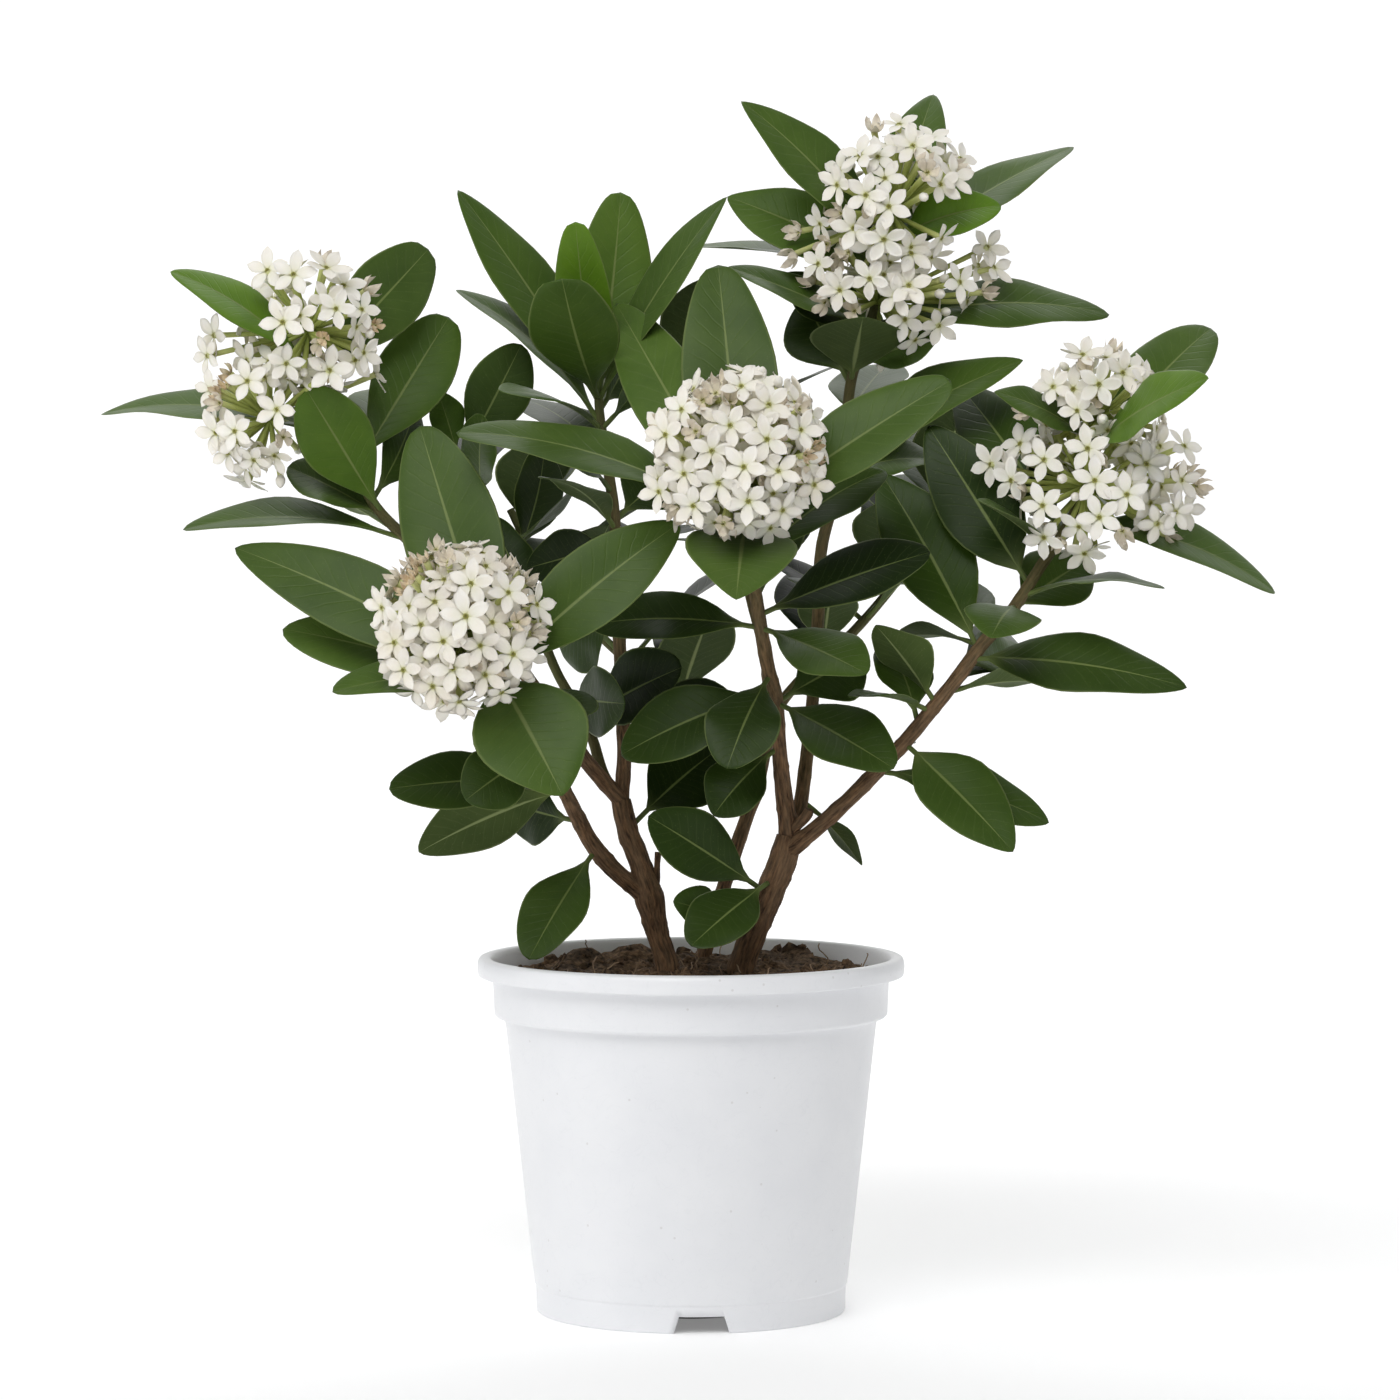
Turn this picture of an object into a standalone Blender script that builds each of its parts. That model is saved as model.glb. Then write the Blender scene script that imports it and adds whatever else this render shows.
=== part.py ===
"""A potted bushmans poison: a flowering evergreen shrub in a round nursery pot.

Every place is given as on a front elevation, in millimetres: across from the pot's axis, height above
the ground and depth behind the axis. An elevation is drawn from one eye in front of the plant, so a
place at another depth is moved along the line of sight before anything is made there.
"""
import math
import random

import bmesh
import bpy
from mathutils import Matrix, Vector
from mathutils.bvhtree import BVHTree

MM = 0.001
EYE_DISTANCE = 2310
EYE_HEIGHT = 378
SEAT_GAP = 0.35

# Pot
POT_HEIGHT = 158
RIM_RADIUS = 95
COLLAR_RADIUS = 87.5
BODY_TOP_RADIUS = 82
FOOT_RADIUS = 68.7
LIP_BOTTOM = 149.5
COLLAR_BOTTOM = 132
BODY_TOP = 128
WALL = 1.8
CHANNEL_HEIGHT = 7
CHANNEL_INNER_RADIUS = 30
NOTCH_COUNT = 3
NOTCH_WIDTH = 29
NOTCH_TURN = 3.9
DRAIN_COUNT = 6
DRAIN_RADIUS = 4.5
DRAIN_CIRCLE = 48
POT_STEPS = 28

# Soil
SOIL_LEVEL = 149.5
SOIL_STEPS = POT_STEPS
SOIL_RINGS = (0, 24, 46, 65, 82)

# Leaf
BLADE_THICKNESS = 1.3
PETIOLE_LENGTH = 8
PETIOLE_RADIUS = 1.2
BLADE_STATIONS = (0.24, 0.55, 0.85)
LEAF_CLEARANCE = 0.9
WOOD_LEAF_GAPS = (0.3, 0.45, 0.6, 0.8)

# Floret
STAR_RADIUS = 10.5
STAR_NOTCH = 0.42
STAR_THICKNESS = 1.4
PETALS = 5
PETAL_CUP = 0.6
TUBE_RADIUS = 1.2
TUBE_TAPER = 0.75
TUBE_ROOT = 0.6
LEAST_FORWARD = 0.35
STAR_MARGIN = 0.6
CORE_MARGIN = 0.8
STEM_MARGIN = 0.4

# Each trunk and stem, from its foot up: points (across, height, depth, radius)
STEMS = {
    "trunk_left": [(-8, 122, 18, 5.4), (-10.6, 153, 15, 5.2), (-15, 168, 14, 4.8), (-18.5, 184, 13, 5.4),
                   (-23, 200, 13, 4.9), (-28, 214, 14, 4.7), (-31, 227, 15, 4.5)],
    "trunk_right": [(18, 122, 8, 6.2), (22.2, 152, 6, 6), (30.6, 174.5, 5, 5.8), (40, 198, 5, 6),
                    (43.4, 211, 5, 5.6)],
    "trunk_back": [(4, 122, 52, 3.6), (6, 158, 52, 3.4), (22.2, 212, 60, 3.2), (29, 232, 66, 3.1),
                   (35, 263, 80, 3), (34, 285, 92, 3)],
    "stem_b": [(-18.5, 183, 13, 4.2), (-35, 197, 10, 3.9), (-44, 208, 4, 3.7), (-50, 219, -4, 3.5),
               (-56, 231, -20, 3.2), (-65, 249, -42, 2.9), (-78, 273, -64, 2.6), (-90, 288, -78, 2.4),
               (-97, 296, -86, 2.3)],
    "stem_a": [(-31, 227, 15, 3.6), (-41, 238, 8, 3.5), (-50.5, 250, 2, 3.3), (-67, 274, -4, 3),
               (-89, 303, -7, 2.8), (-111, 329, -9, 2.6), (-136, 353, -14, 2.4), (-146, 368, -18, 2.3),
               (-160, 390, -23, 2.2), (-168, 410, -26, 2.1), (-170, 430, -28, 2)],
    "stem_mid_left": [(-31, 227, 15, 2.6), (-38.5, 238, 24, 2.5), (-44, 255, 30, 2.4), (-51, 269, 33, 2.3),
                      (-59, 283, 34, 2.2), (-65, 298, 34, 2.2), (-69, 316, 33, 2.1), (-78, 334, 31, 2),
                      (-93, 360, 29, 1.9), (-104, 380, 26, 1.7)],
    "stem_top": [(-31, 227, 15, 3.4), (-29.7, 247, 18, 3.3), (-30.6, 272, 20, 3.1), (-31.5, 294, 22, 2.9),
                 (-33, 325, 22, 2.7), (-33.7, 351, 20, 2.6), (-36.8, 375, 20, 2.4), (-40, 395, 20, 2.2),
                 (-41, 408, 20, 1.9)],
    "stem_c": [(43.4, 211, 5, 4.4), (42, 224, 2, 4.1), (39.4, 247, -6, 3.4), (37.7, 272, -15, 3.1),
               (33.7, 288, -25, 3.1), (29, 316, -40, 2.9), (25.3, 338, -58, 2.6), (22.6, 356, -72, 2.4),
               (21.3, 367, -79, 2.2)],
    "stem_d": [(43.4, 211, 5, 3.4), (48.3, 224, 13, 3.2), (51.4, 247, 24, 3), (54, 272, 32, 2.9),
               (56.3, 307, 35, 2.8), (58, 340, 32, 2.7), (67.3, 375, 25, 2.5), (70.5, 411, 18, 2.4),
               (77.5, 433, 12, 2.3), (84, 455, 6, 2.2), (88.3, 482, 1, 2.1)],
    "stem_e": [(41.5, 204, 5, 4), (50, 210, 0, 3.8), (66, 223.7, -5, 3.5), (80, 237.4, -9, 3.4),
               (96, 254.3, -14, 3.3), (117, 280, -21, 3.2), (128.5, 295.5, -25, 3), (142, 311, -28, 2.7),
               (155, 331, -30, 2.5), (165.7, 347, -31, 2.4), (174, 365, -31, 2.3), (179.6, 393.5, -30, 2.1)],
    "stem_back": [(34, 285, 92, 2.8), (31, 300, 98, 2.7), (22, 334, 106, 2.5), (12, 366, 110, 2.3),
                  (4, 392, 112, 2.1), (0, 412, 112, 1.8)],
    "stem_back_left": [(29, 232, 66, 2.6), (18, 248, 80, 2.5), (-8, 272, 104, 2.4), (-40, 300, 128, 2.2),
                       (-66, 330, 142, 2), (-80, 356, 148, 1.8)],
    "stem_back_right": [(34, 262, 79, 2.6), (48, 280, 90, 2.5), (74, 304, 112, 2.3), (98, 334, 126, 2.1),
                        (112, 362, 132, 1.8)],
}
PARENTS = {
    "stem_b": "trunk_left", "stem_a": "trunk_left", "stem_mid_left": "trunk_left", "stem_top": "trunk_left",
    "stem_c": "trunk_right", "stem_d": "trunk_right", "stem_e": "trunk_right",
    "stem_back": "trunk_back", "stem_back_left": "trunk_back", "stem_back_right": "trunk_back",
}
ARM_LENGTH = 15
STEM_STEP = 16
FORK_SWELLING = 1.12
SNAGS = {
    "trunk_left": [(-15, 190, 12, 1.5), (-15, 199, 12, 1.4), (-14.6, 204, 12, 1.6)],
    "trunk_right": [(45, 214, 3, 2.4), (51, 219.5, -3, 2.3), (52.5, 223, -4, 2)],
}

# Each leaf: height of its foot on the stem, its tip (across, height, depth), its full width,
# and where its upper side looks: azimuth and elevation, with 0, 0 straight at the eye
LEAVES = {
    "stem_a": [(418, -230, 461, -62, 30, 30, 50), (388, -261, 398, -30, 36, 0, 65),
               (414, -116, 471, 5, 34, 20, 10), (372, -107, 441, 20, 34, 10, 20),
               (366, -170, 409, -35, 36, 0, 10), (360, -122, 404, 30, 26, 60, 20),
               (342, -225, 347, -20, 34, 0, 70), (338, -177, 369, 25, 34, 0, 115)],
    "stem_b": [(282, -202, 339, -72, 36, -10, 30), (276, -181, 303, -45, 34, 0, 40),
               (279, -159, 275, -100, 36, 0, 110), (284, -120, 393, -52, 44, -5, 0),
               (283, -5, 350, -62, 36, 10, 30), (270, -57, 229, -105, 46, 5, 25),
               (236, -134, 232, -40, 34, 0, 45), (250, -100, 227, -62, 30, 0, 20),
               (232, -121, 204, -5, 32, 0, 150), (218, -83, 227, 20, 34, 0, -20),
               (205, -72, 156, -25, 32, -25, 20)],
    "stem_mid_left": [(376, -75, 429, 20, 30, 40, 40), (378, -112, 408, 15, 18, 20, 20),
                      (334, -65, 384, 40, 32, 50, 10), (358, -92, 398, 0, 24, -30, 20),
                      (338, -52, 366, 15, 20, 60, 10), (318, -88, 353, 10, 24, -20, 0),
                      (262, -4, 286, 5, 36, 0, 30), (272, -29, 270, -20, 32, 10, 0)],
    "stem_top": [(404, -103, 497, 40, 36, 30, 45), (406, -51, 483, -15, 26, -10, 20),
                 (405, -57, 458, -8, 40, -10, 5), (405, -31, 496, 35, 36, 15, 0),
                 (403, 16, 494, 15, 36, -30, 50), (394, -104, 453, -20, 34, 0, 75),
                 (391, -84, 408, -35, 34, 0, 65), (364, -69, 386, -20, 34, 10, 50),
                 (391, -15, 424, 0, 20, 50, 30), (400, -26, 430, 45, 26, 70, 20),
                 (347, -66, 370, -5, 28, 0, 75), (352, -10, 371, 40, 32, 0, 30),
                 (310, -58, 294, 58, 34, 0, 10), (342, -73, 330, -18, 26, -30, -10)],
    "stem_c": [(350, 12, 464, -18, 42, 0, 10), (348, -33, 447, -40, 34, -20, 30),
               (348, -104, 390, -58, 34, 0, 60), (334, 20, 316, -135, 48, 0, 40),
               (351, 115, 413, -70, 34, 5, 40), (330, 86, 373, -30, 36, -10, 55),
               (310, 106, 337, -50, 38, 0, 50), (303, 78, 283, -75, 34, 10, 45),
               (283, 16, 241, -55, 34, -10, 25), (270, 90, 241, -50, 36, 10, 40),
               (250, 10, 220, -10, 32, -20, 30), (270, 76, 291, 5, 34, 0, 20),
               (303, -44, 305, -20, 34, 0, 50), (262, -23, 266, 15, 34, 0, 35),
               (276, -31, 247, -20, 34, 0, 30)],
    "stem_d": [(468, 22, 536, -10, 34, 20, 40), (463, 16, 494, -25, 34, 10, 25),
               (464, -5, 472, 14, 34, 0, 80), (436, 16, 463, -5, 30, 0, 60),
               (412, 50, 449, 30, 36, 0, 0), (410, 66, 455, 52, 36, 10, 0),
               (413, 76, 441, -40, 42, 0, 115), (474, 137, 490, -50, 30, -10, 40),
               (472, 107, 539, 12, 30, -10, 10), (466, 169, 516, 5, 34, 0, 68),
               (436, 185, 442, -10, 34, 0, 50), (420, 110, 433, -20, 20, 20, 20),
               (380, 147, 422, -5, 36, 0, 50), (372, 110, 378, 15, 28, 0, 60),
               (226, 76, 198, 20, 22, 0, 100)],
    "stem_e": [(382, 229, 414, -75, 30, -10, 30), (378, 230, 436, -12, 32, 0, 30),
               (350, 259, 319, -35, 36, 0, 60), (318, 210, 321, -50, 34, 0, 85),
               (311, 176, 334, 5, 34, 0, 30), (336, 127, 360, -55, 30, 0, 70),
               (384, 134, 408, -65, 22, 60, 30), (312, 133, 299, -88, 34, 10, 60),
               (290, 220, 277, -50, 36, 5, 45), (275, 157, 280, -10, 30, 0, 110),
               (287, 150, 292, 15, 30, 0, 20), (296, 93, 300, 5, 30, 0, 110),
               (294, 84, 372, 0, 38, 10, 10), (322, 105, 393, -10, 36, 0, 0),
               (345, 118, 411, 15, 36, 0, 20), (270, 82, 305, -35, 32, 0, 105),
               (260, 86, 298, 0, 30, 30, 10), (266, 70, 273, 10, 26, 0, 85),
               (253, 143, 204, -45, 38, 10, 40), (240, 159, 217, -15, 32, 0, 50)],
}
# Single leaves on the old wood of the trunks
WOOD_LEAVES = {
    "leaf_lower_right": ("trunk_right", (186, -19, 220, -18, 38, 0, 20)),
    "leaf_lower_front": ("trunk_right", (190, 0, 162, -38, 30, -10, 30)),
    "leaf_lower_small": ("trunk_right", (169, -8, 182, -34, 22, 0, 30)),
    "leaf_lower_left": ("trunk_left", (216, 11, 249, 30, 36, 0, 30)),
}
# Stems at the back carry pairs of leaves by rule: number of pairs, first height, spacing
BACK_PAIRS = {"stem_back": (5, 312, 23), "stem_back_left": (5, 270, 19), "stem_back_right": (5, 290, 16)}
BACK_LEAF_LENGTH = 88
BACK_LEAF_WIDTH = 36
BACK_LEAF_LIFT = 38
# Pairs that stand behind the photographed ones: stem, height, azimuth of the tip, lift, length
HIDDEN_LEAVES = [
    ("stem_a", 380, 150, 25, 82), ("stem_a", 352, 205, 15, 86), ("stem_a", 300, 170, 10, 84),
    ("stem_b", 268, 215, 20, 80), ("stem_b", 252, 175, 15, 84), ("stem_mid_left", 366, 190, 20, 82),
    ("stem_mid_left", 322, 160, 15, 86), ("stem_mid_left", 292, 215, 5, 84), ("stem_top", 398, 170, 35, 82),
    ("stem_top", 378, 205, 20, 88), ("stem_top", 336, 150, 10, 86), ("stem_c", 330, 200, 10, 70),
    ("stem_d", 462, 175, 40, 84), ("stem_d", 430, 210, 25, 88), ("stem_d", 396, 150, 20, 90),
    ("stem_d", 356, 195, 10, 88), ("stem_d", 318, 165, 0, 84), ("stem_e", 366, 185, 30, 84),
    ("stem_e", 340, 150, 20, 86), ("stem_e", 306, 200, 10, 86), ("stem_e", 280, 165, 5, 84),
    ("stem_e", 250, 190, -5, 80),
]

# Each whorl: its stem, its middle (across, height, depth), reach, core radius,
# the florets seen in front (across, height), and the number that stand round the back
WHORLS = {
    "flowers_a_upper": ("stem_a", (-169, 437, -29), 31, 9, [
        (-174, 459), (-186, 461), (-191, 450), (-155, 444), (-178, 438), (-173, 425), (-160, 431),
        (-139, 437), (-144, 425), (-160, 462)], 7),
    "flowers_a_lower": ("stem_a", (-164, 401, -24.5), 30, 8, [
        (-187, 414), (-181, 400), (-203, 391), (-196, 375), (-189, 382), (-203, 412), (-158, 417)], 3),
    "flowers_b": ("stem_b", (-102, 304, -93), 37, 22, [
        (-112, 316), (-118, 306), (-98, 310), (-108, 299), (-92, 297), (-130, 298), (-126, 286),
        (-104, 287), (-113, 279), (-136, 313), (-96, 324), (-106, 333), (-76, 307), (-122, 325),
        (-80, 320), (-78, 293), (-90, 284)], 9),
    "flowers_c": ("stem_c", (20.5, 380, -87), 39, 25, [
        (17, 393), (9, 382), (33, 387), (-3, 372), (12, 368), (23, 375), (38, 373), (1, 358), (25, 360),
        (-11, 389), (22, 410), (34, 402), (54, 367), (5, 404), (-4, 400), (48, 391), (14, 350),
        (40, 356), (-14, 364), (50, 380)], 9),
    "flowers_d_upper": ("stem_d", (88.5, 489, 0), 34, 9, [
        (76, 493), (86, 488), (101, 490), (103, 503), (115, 502), (97, 515), (74, 511), (64, 498),
        (71, 479), (84, 474)], 7),
    "flowers_d_lower": ("stem_d", (82.5, 450, 7), 33, 8, [
        (96, 468), (78, 457), (95, 454), (65, 452), (56, 464), (118, 456), (109, 437)], 4),
    "flowers_e_upper": ("stem_e", (180.5, 399, -30), 29, 8, [
        (164, 397), (159, 410), (178, 411), (189, 416), (199, 412), (172, 424)], 6),
    "flowers_e_lower": ("stem_e", (175, 368.5, -31), 36, 8, [
        (145, 385), (141, 369), (154, 358), (173, 383), (176, 369), (199, 376), (178, 353), (190, 363),
        (189, 347), (173, 337), (155, 344), (217, 384), (216, 369), (213, 355), (205, 350)], 5),
}


def seen(across, height, depth):
    """The point at this depth that is drawn at (across, height) on the front elevation."""
    far = 1 + depth / EYE_DISTANCE
    return Vector((across * far, depth, EYE_HEIGHT + (height - EYE_HEIGHT) * far)) * MM


def drawn_height(point):
    """The height at which a point is drawn on the front elevation."""
    far = 1 + point.y / MM / EYE_DISTANCE
    return EYE_HEIGHT + (point.z / MM - EYE_HEIGHT) / far


def nearest(points, place):
    return min(points, key=lambda point: math.dist(point[:3], place[:3]))


def new_collection(name, parent):
    collection = bpy.data.collections.new(name)
    parent.children.link(collection)
    return collection


def material(name, colour, roughness):
    made = bpy.data.materials.new(name)
    made.use_nodes = True
    shader = made.node_tree.nodes["Principled BSDF"]
    shader.inputs["Base Color"].default_value = (*colour, 1)
    shader.inputs["Roughness"].default_value = roughness
    return made


def smooth_path(points, step=STEM_STEP):
    """Points and radii read from a smooth curve through the given places, about a step apart."""
    places = [seen(*point[:3]) for point in points]
    radii = [point[3] * MM for point in points]
    path = []
    for i in range(len(places) - 1):
        before = places[max(i - 1, 0)]
        after = places[min(i + 2, len(places) - 1)]
        start, end = places[i], places[i + 1]
        pieces = max(1, round((end - start).length / MM / step))
        for k in range(pieces):
            t = k / pieces
            point = 0.5 * (2 * start + (end - before) * t
                           + (2 * before - 5 * start + 4 * end - after) * t ** 2
                           + (3 * start - before - 3 * end + after) * t ** 3)
            path.append((point, radii[i] + (radii[i + 1] - radii[i]) * t))
    path.append((places[-1], radii[-1]))
    return path


def split_path(path, length, gap):
    """The path up to a length, and the path from a gap past it, cut on one straight run."""
    walked = 0.0
    for i in range(len(path) - 1):
        run = path[i + 1][0] - path[i][0]
        if walked + run.length > length:
            share = min(max((length - walked) / run.length, 0.25), 0.7)
            cut = path[i][0] + run * share
            radius = path[i][1] + (path[i + 1][1] - path[i][1]) * share
            return (path[:i + 1] + [(cut, radius)],
                    [(cut + run.normalized() * gap, radius)] + path[i + 1:])
        walked += run.length
    return path, []


def tube(name, path, collection, grow=0.0, sides=1):
    """A closed tube along a path of points and radii, as a mesh."""
    curve = bpy.data.curves.new(name, "CURVE")
    curve.dimensions = "3D"
    curve.bevel_depth = 1.0
    curve.bevel_resolution = sides
    curve.use_fill_caps = True
    spline = curve.splines.new("POLY")
    spline.points.add(len(path) - 1)
    for spot, (point, radius) in zip(spline.points, path):
        spot.co = (*point, 1)
        spot.radius = radius + grow
    holder = bpy.data.objects.new(name, curve)
    collection.objects.link(holder)
    bpy.context.view_layer.update()
    mesh = bpy.data.meshes.new_from_object(holder.evaluated_get(bpy.context.evaluated_depsgraph_get()))
    bpy.data.objects.remove(holder)
    bpy.data.curves.remove(curve)
    work = bmesh.new()
    work.from_mesh(mesh)
    bmesh.ops.remove_doubles(work, verts=work.verts, dist=0.00002)
    bmesh.ops.recalc_face_normals(work, faces=work.faces)
    work.to_mesh(mesh)
    work.free()
    mesh.name = name
    made = bpy.data.objects.new(name, mesh)
    collection.objects.link(made)
    return made


def apply_modifiers(item):
    bpy.context.view_layer.update()
    mesh = bpy.data.meshes.new_from_object(item.evaluated_get(bpy.context.evaluated_depsgraph_get()))
    item.modifiers.clear()
    item.data = mesh


def paint(item, made_material):
    item.data.materials.clear()
    item.data.materials.append(made_material)


def fuse(base, pieces):
    """One body of a base and the pieces that grow from it."""
    group = bpy.data.collections.new(base.name + "_pieces")
    bpy.context.scene.collection.children.link(group)
    for piece in pieces:
        group.objects.link(piece)
    union = base.modifiers.new("Grown together", "BOOLEAN")
    union.operation = "UNION"
    union.solver = "MANIFOLD"
    union.operand_type = "COLLECTION"
    union.collection = group
    apply_modifiers(base)
    for piece in pieces:
        bpy.data.objects.remove(piece)
    bpy.data.collections.remove(group)


def cut(item, cutter, solver="EXACT"):
    cutter.hide_render = True
    cutter.display_type = "WIRE"
    difference = item.modifiers.new("Cut", "BOOLEAN")
    difference.operation = "DIFFERENCE"
    difference.solver = solver
    difference.object = cutter
    apply_modifiers(item)


def tree_of(item):
    mesh = item.data
    points = [item.matrix_world @ vertex.co for vertex in mesh.vertices]
    return obstacle(points, [tuple(face.vertices) for face in mesh.polygons])


def obstacle(points, faces):
    low = Vector([min(point[k] for point in points) for k in range(3)])
    high = Vector([max(point[k] for point in points) for k in range(3)])
    return low, high, BVHTree.FromPolygons(points, faces)


def meets(one, other):
    if any(one[0][k] > other[1][k] or other[0][k] > one[1][k] for k in range(3)):
        return False
    return bool(one[2].overlap(other[2]))


# The leaf's net: a sphere of four meridians, whose rings become the stations along the leaf
LEAF_RINGS = 2 + len(BLADE_STATIONS)


def leaf_net():
    """The net's places (ring, side) and its faces, quads cut from edge to midrib alike on both faces."""
    work = bmesh.new()
    bmesh.ops.create_uvsphere(work, u_segments=4, v_segments=LEAF_RINGS + 1, radius=1)
    places = {}
    for vertex in work.verts:
        ring = round((1 - math.acos(max(-1, min(1, vertex.co.z))) / math.pi) * (LEAF_RINGS + 1))
        side = round(math.atan2(vertex.co.y, vertex.co.x) / (math.pi / 2)) % 4
        places[vertex] = (ring, side)
    for face in [face for face in work.faces if len(face.verts) == 4]:
        low = min(places[vertex][0] for vertex in face.verts)
        edge = next(v for v in face.verts if places[v][0] == low and places[v][1] % 2 == 0)
        rib = next(v for v in face.verts if places[v][0] == low + 1 and places[v][1] % 2 == 1)
        bmesh.utils.face_split(face, edge, rib)
    work.verts.index_update()
    order = [places[vertex] for vertex in work.verts]
    faces = [tuple(vertex.index for vertex in face.verts) for face in work.faces]
    work.free()
    blade_faces = [face for face in faces if min(order[k][0] for k in face) > 1]
    return order, faces, blade_faces


def leaf_width(share):
    """Half of the blade's width over its full half width, at a share of the way to the tip."""
    return math.sin(math.pi * share ** 0.82) ** 0.75


def facing_vector(azimuth, elevation):
    turn, lift = math.radians(azimuth), math.radians(elevation)
    return Vector((math.sin(turn) * math.cos(lift), -math.cos(turn) * math.cos(lift), math.sin(lift)))


def leaf_shape(foot, tip, width, facing, seed):
    """A blade's own axes and its random bend, fold and wave."""
    axis = (tip - foot).normalized()
    normal = facing - axis * facing.dot(axis)
    if normal.length < 0.2:
        normal = Vector((0, 0, 1)) - axis * axis.z
    normal.normalize()
    draw = random.Random(seed)
    return {"foot": foot, "tip": tip, "length": (tip - foot).length, "axis": axis, "normal": normal,
            "side": normal.cross(axis), "half": width * MM / 2, "arch": draw.uniform(0.02, 0.09),
            "fold": math.radians(draw.uniform(6, 20)), "wave": draw.uniform(0.3, 1.4) * MM,
            "phase": draw.uniform(0, 6.28), "waves": draw.uniform(1.2, 2.2)}


def leaf_point(leaf, share, across, rise):
    """A point of the leaf: share of its length, across from -1 to 1, and rise off the blade's middle."""
    petiole = min(PETIOLE_LENGTH * MM / leaf["length"], 0.2)
    middle = leaf["foot"] + (leaf["tip"] - leaf["foot"]) * share
    middle = middle + leaf["normal"] * (leaf["arch"] * leaf["length"] * 4 * share * (1 - share))
    if share <= petiole:
        half = PETIOLE_RADIUS * MM
        lift = 0.0
    else:
        blade = (share - petiole) / (1 - petiole)
        half = max(leaf["half"] * leaf_width(blade), PETIOLE_RADIUS * MM * (1 - blade))
        wave = math.sin(2 * math.pi * leaf["waves"] * blade + leaf["phase"] + across)
        lift = half * math.sin(leaf["fold"]) * (1 - 0.5 * blade) + leaf["wave"] * wave * math.sin(math.pi * blade)
    return (middle + leaf["side"] * (half * across)
            + leaf["normal"] * (lift * abs(across) + rise))


def leaf_points(leaf, order, grow=0.0):
    """The leaf's net points; grow thickens the whole leaf, for testing its clearance."""
    petiole = min(PETIOLE_LENGTH * MM / leaf["length"], 0.2)
    shares = [0.0, 0.02, petiole] + [petiole + (1 - petiole) * s for s in BLADE_STATIONS] + [1.0]
    half_thick = BLADE_THICKNESS / 2 * MM
    points = []
    for ring, side in order:
        share = shares[ring]
        if ring in (0, LEAF_RINGS + 1):
            points.append(leaf_point(leaf, share, 0, 0))
        elif side % 2:
            rise = PETIOLE_RADIUS * MM if ring < 3 else half_thick * (1.2 - 0.4 * share)
            points.append(leaf_point(leaf, share, 0, (rise + grow) * (1 if side == 1 else -1)))
        else:
            across = 1 if side == 0 else -1
            points.append(leaf_point(leaf, share, across, 0) + leaf["side"] * (grow * 0.5 * across))
    return points


TRY_DEPTHS = (0, 7, -7, 14, -14, 22, -22, 31, -31, 42, -42, 55, -55, 70, -70)
TRY_ROLLS = (0, 20, -20, 40, -40, 60, -60)
TRY_LENGTHS = (1, 0.88, 0.76, 0.64)


def place_leaf(foot, tip, width, facing, seed, others, siblings, net):
    """The first clear place for a leaf: other depths, rolls and lengths are tried in a fixed order.

    A leaf keeps clear of all of other nodes, and with its blade of the blades on its own stem.
    """
    order, faces, blade_faces = net
    for length in TRY_LENGTHS:
        for roll in TRY_ROLLS:
            for depth in TRY_DEPTHS:
                away = (tip - Vector((0, -EYE_DISTANCE, EYE_HEIGHT)) * MM).normalized()
                end = foot + (tip + away * (depth * MM) - foot) * length
                turned = Matrix.Rotation(math.radians(roll), 3, (end - foot).normalized()) @ facing
                leaf = leaf_shape(foot, end, width * (0.4 + 0.6 * length), turned, seed)
                points = leaf_points(leaf, order, LEAF_CLEARANCE * MM)
                whole, blade = obstacle(points, faces), obstacle(points, blade_faces)
                if not (any(meets(whole, other[0]) for other in others)
                        or any(meets(blade, other[1]) for other in siblings)):
                    return leaf, (whole, blade)
    return None, None


def leaf_object(name, leaf, order, faces, collection):
    mesh = bpy.data.meshes.new(name)
    mesh.from_pydata(leaf_points(leaf, order), [], faces)
    made = bpy.data.objects.new(name, mesh)
    collection.objects.link(made)
    return made


def floret_object(name, centre, root, normal, turn, grow, collection):
    """A five-petalled star whose underside runs down in a thin tube to its root."""
    frame = normal.to_track_quat("Z", "Y").to_matrix() @ Matrix.Rotation(turn, 3, "Z")
    radius, neck = (STAR_RADIUS + grow) * MM, (TUBE_RADIUS + grow) * MM
    down = (root - centre).normalized()
    tips, notches, necks, feet = [], [], [], []
    for k in range(PETALS):
        middle = Matrix.Rotation(k * math.tau / PETALS, 3, "Z") @ Vector((1, 0, 0))
        between = Matrix.Rotation((k - 0.5) * math.tau / PETALS, 3, "Z") @ Vector((1, 0, 0))
        tips.append(centre + frame @ (middle * radius + Vector((0, 0, PETAL_CUP * MM))))
        notches.append(centre + frame @ (between * radius * STAR_NOTCH))
        necks.append(centre + frame @ (between * neck - Vector((0, 0, (STAR_THICKNESS + grow) * MM))))
        across = frame @ between
        feet.append(root + (across - down * across.dot(down)).normalized() * (neck * TUBE_TAPER))
    points = [centre + frame @ Vector((0, 0, grow * MM))] + tips + notches + necks + feet
    faces = []
    for k in range(PETALS):
        tip, notch, low, foot = (1 + k + PETALS * ring for ring in range(4))
        _tip, next_notch, next_low, next_foot = (1 + (k + 1) % PETALS + PETALS * ring for ring in range(4))
        faces += [(0, notch, tip), (0, tip, next_notch), (notch, low, tip), (tip, low, next_low),
                  (tip, next_low, next_notch), (low, foot, next_foot, next_low)]
    faces.append(tuple(1 + PETALS * 4 - 1 - k for k in range(PETALS)))
    mesh = bpy.data.meshes.new(name)
    mesh.from_pydata([tuple(point) for point in points], [], faces)
    made = bpy.data.objects.new(name, mesh)
    collection.objects.link(made)
    return made


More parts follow.
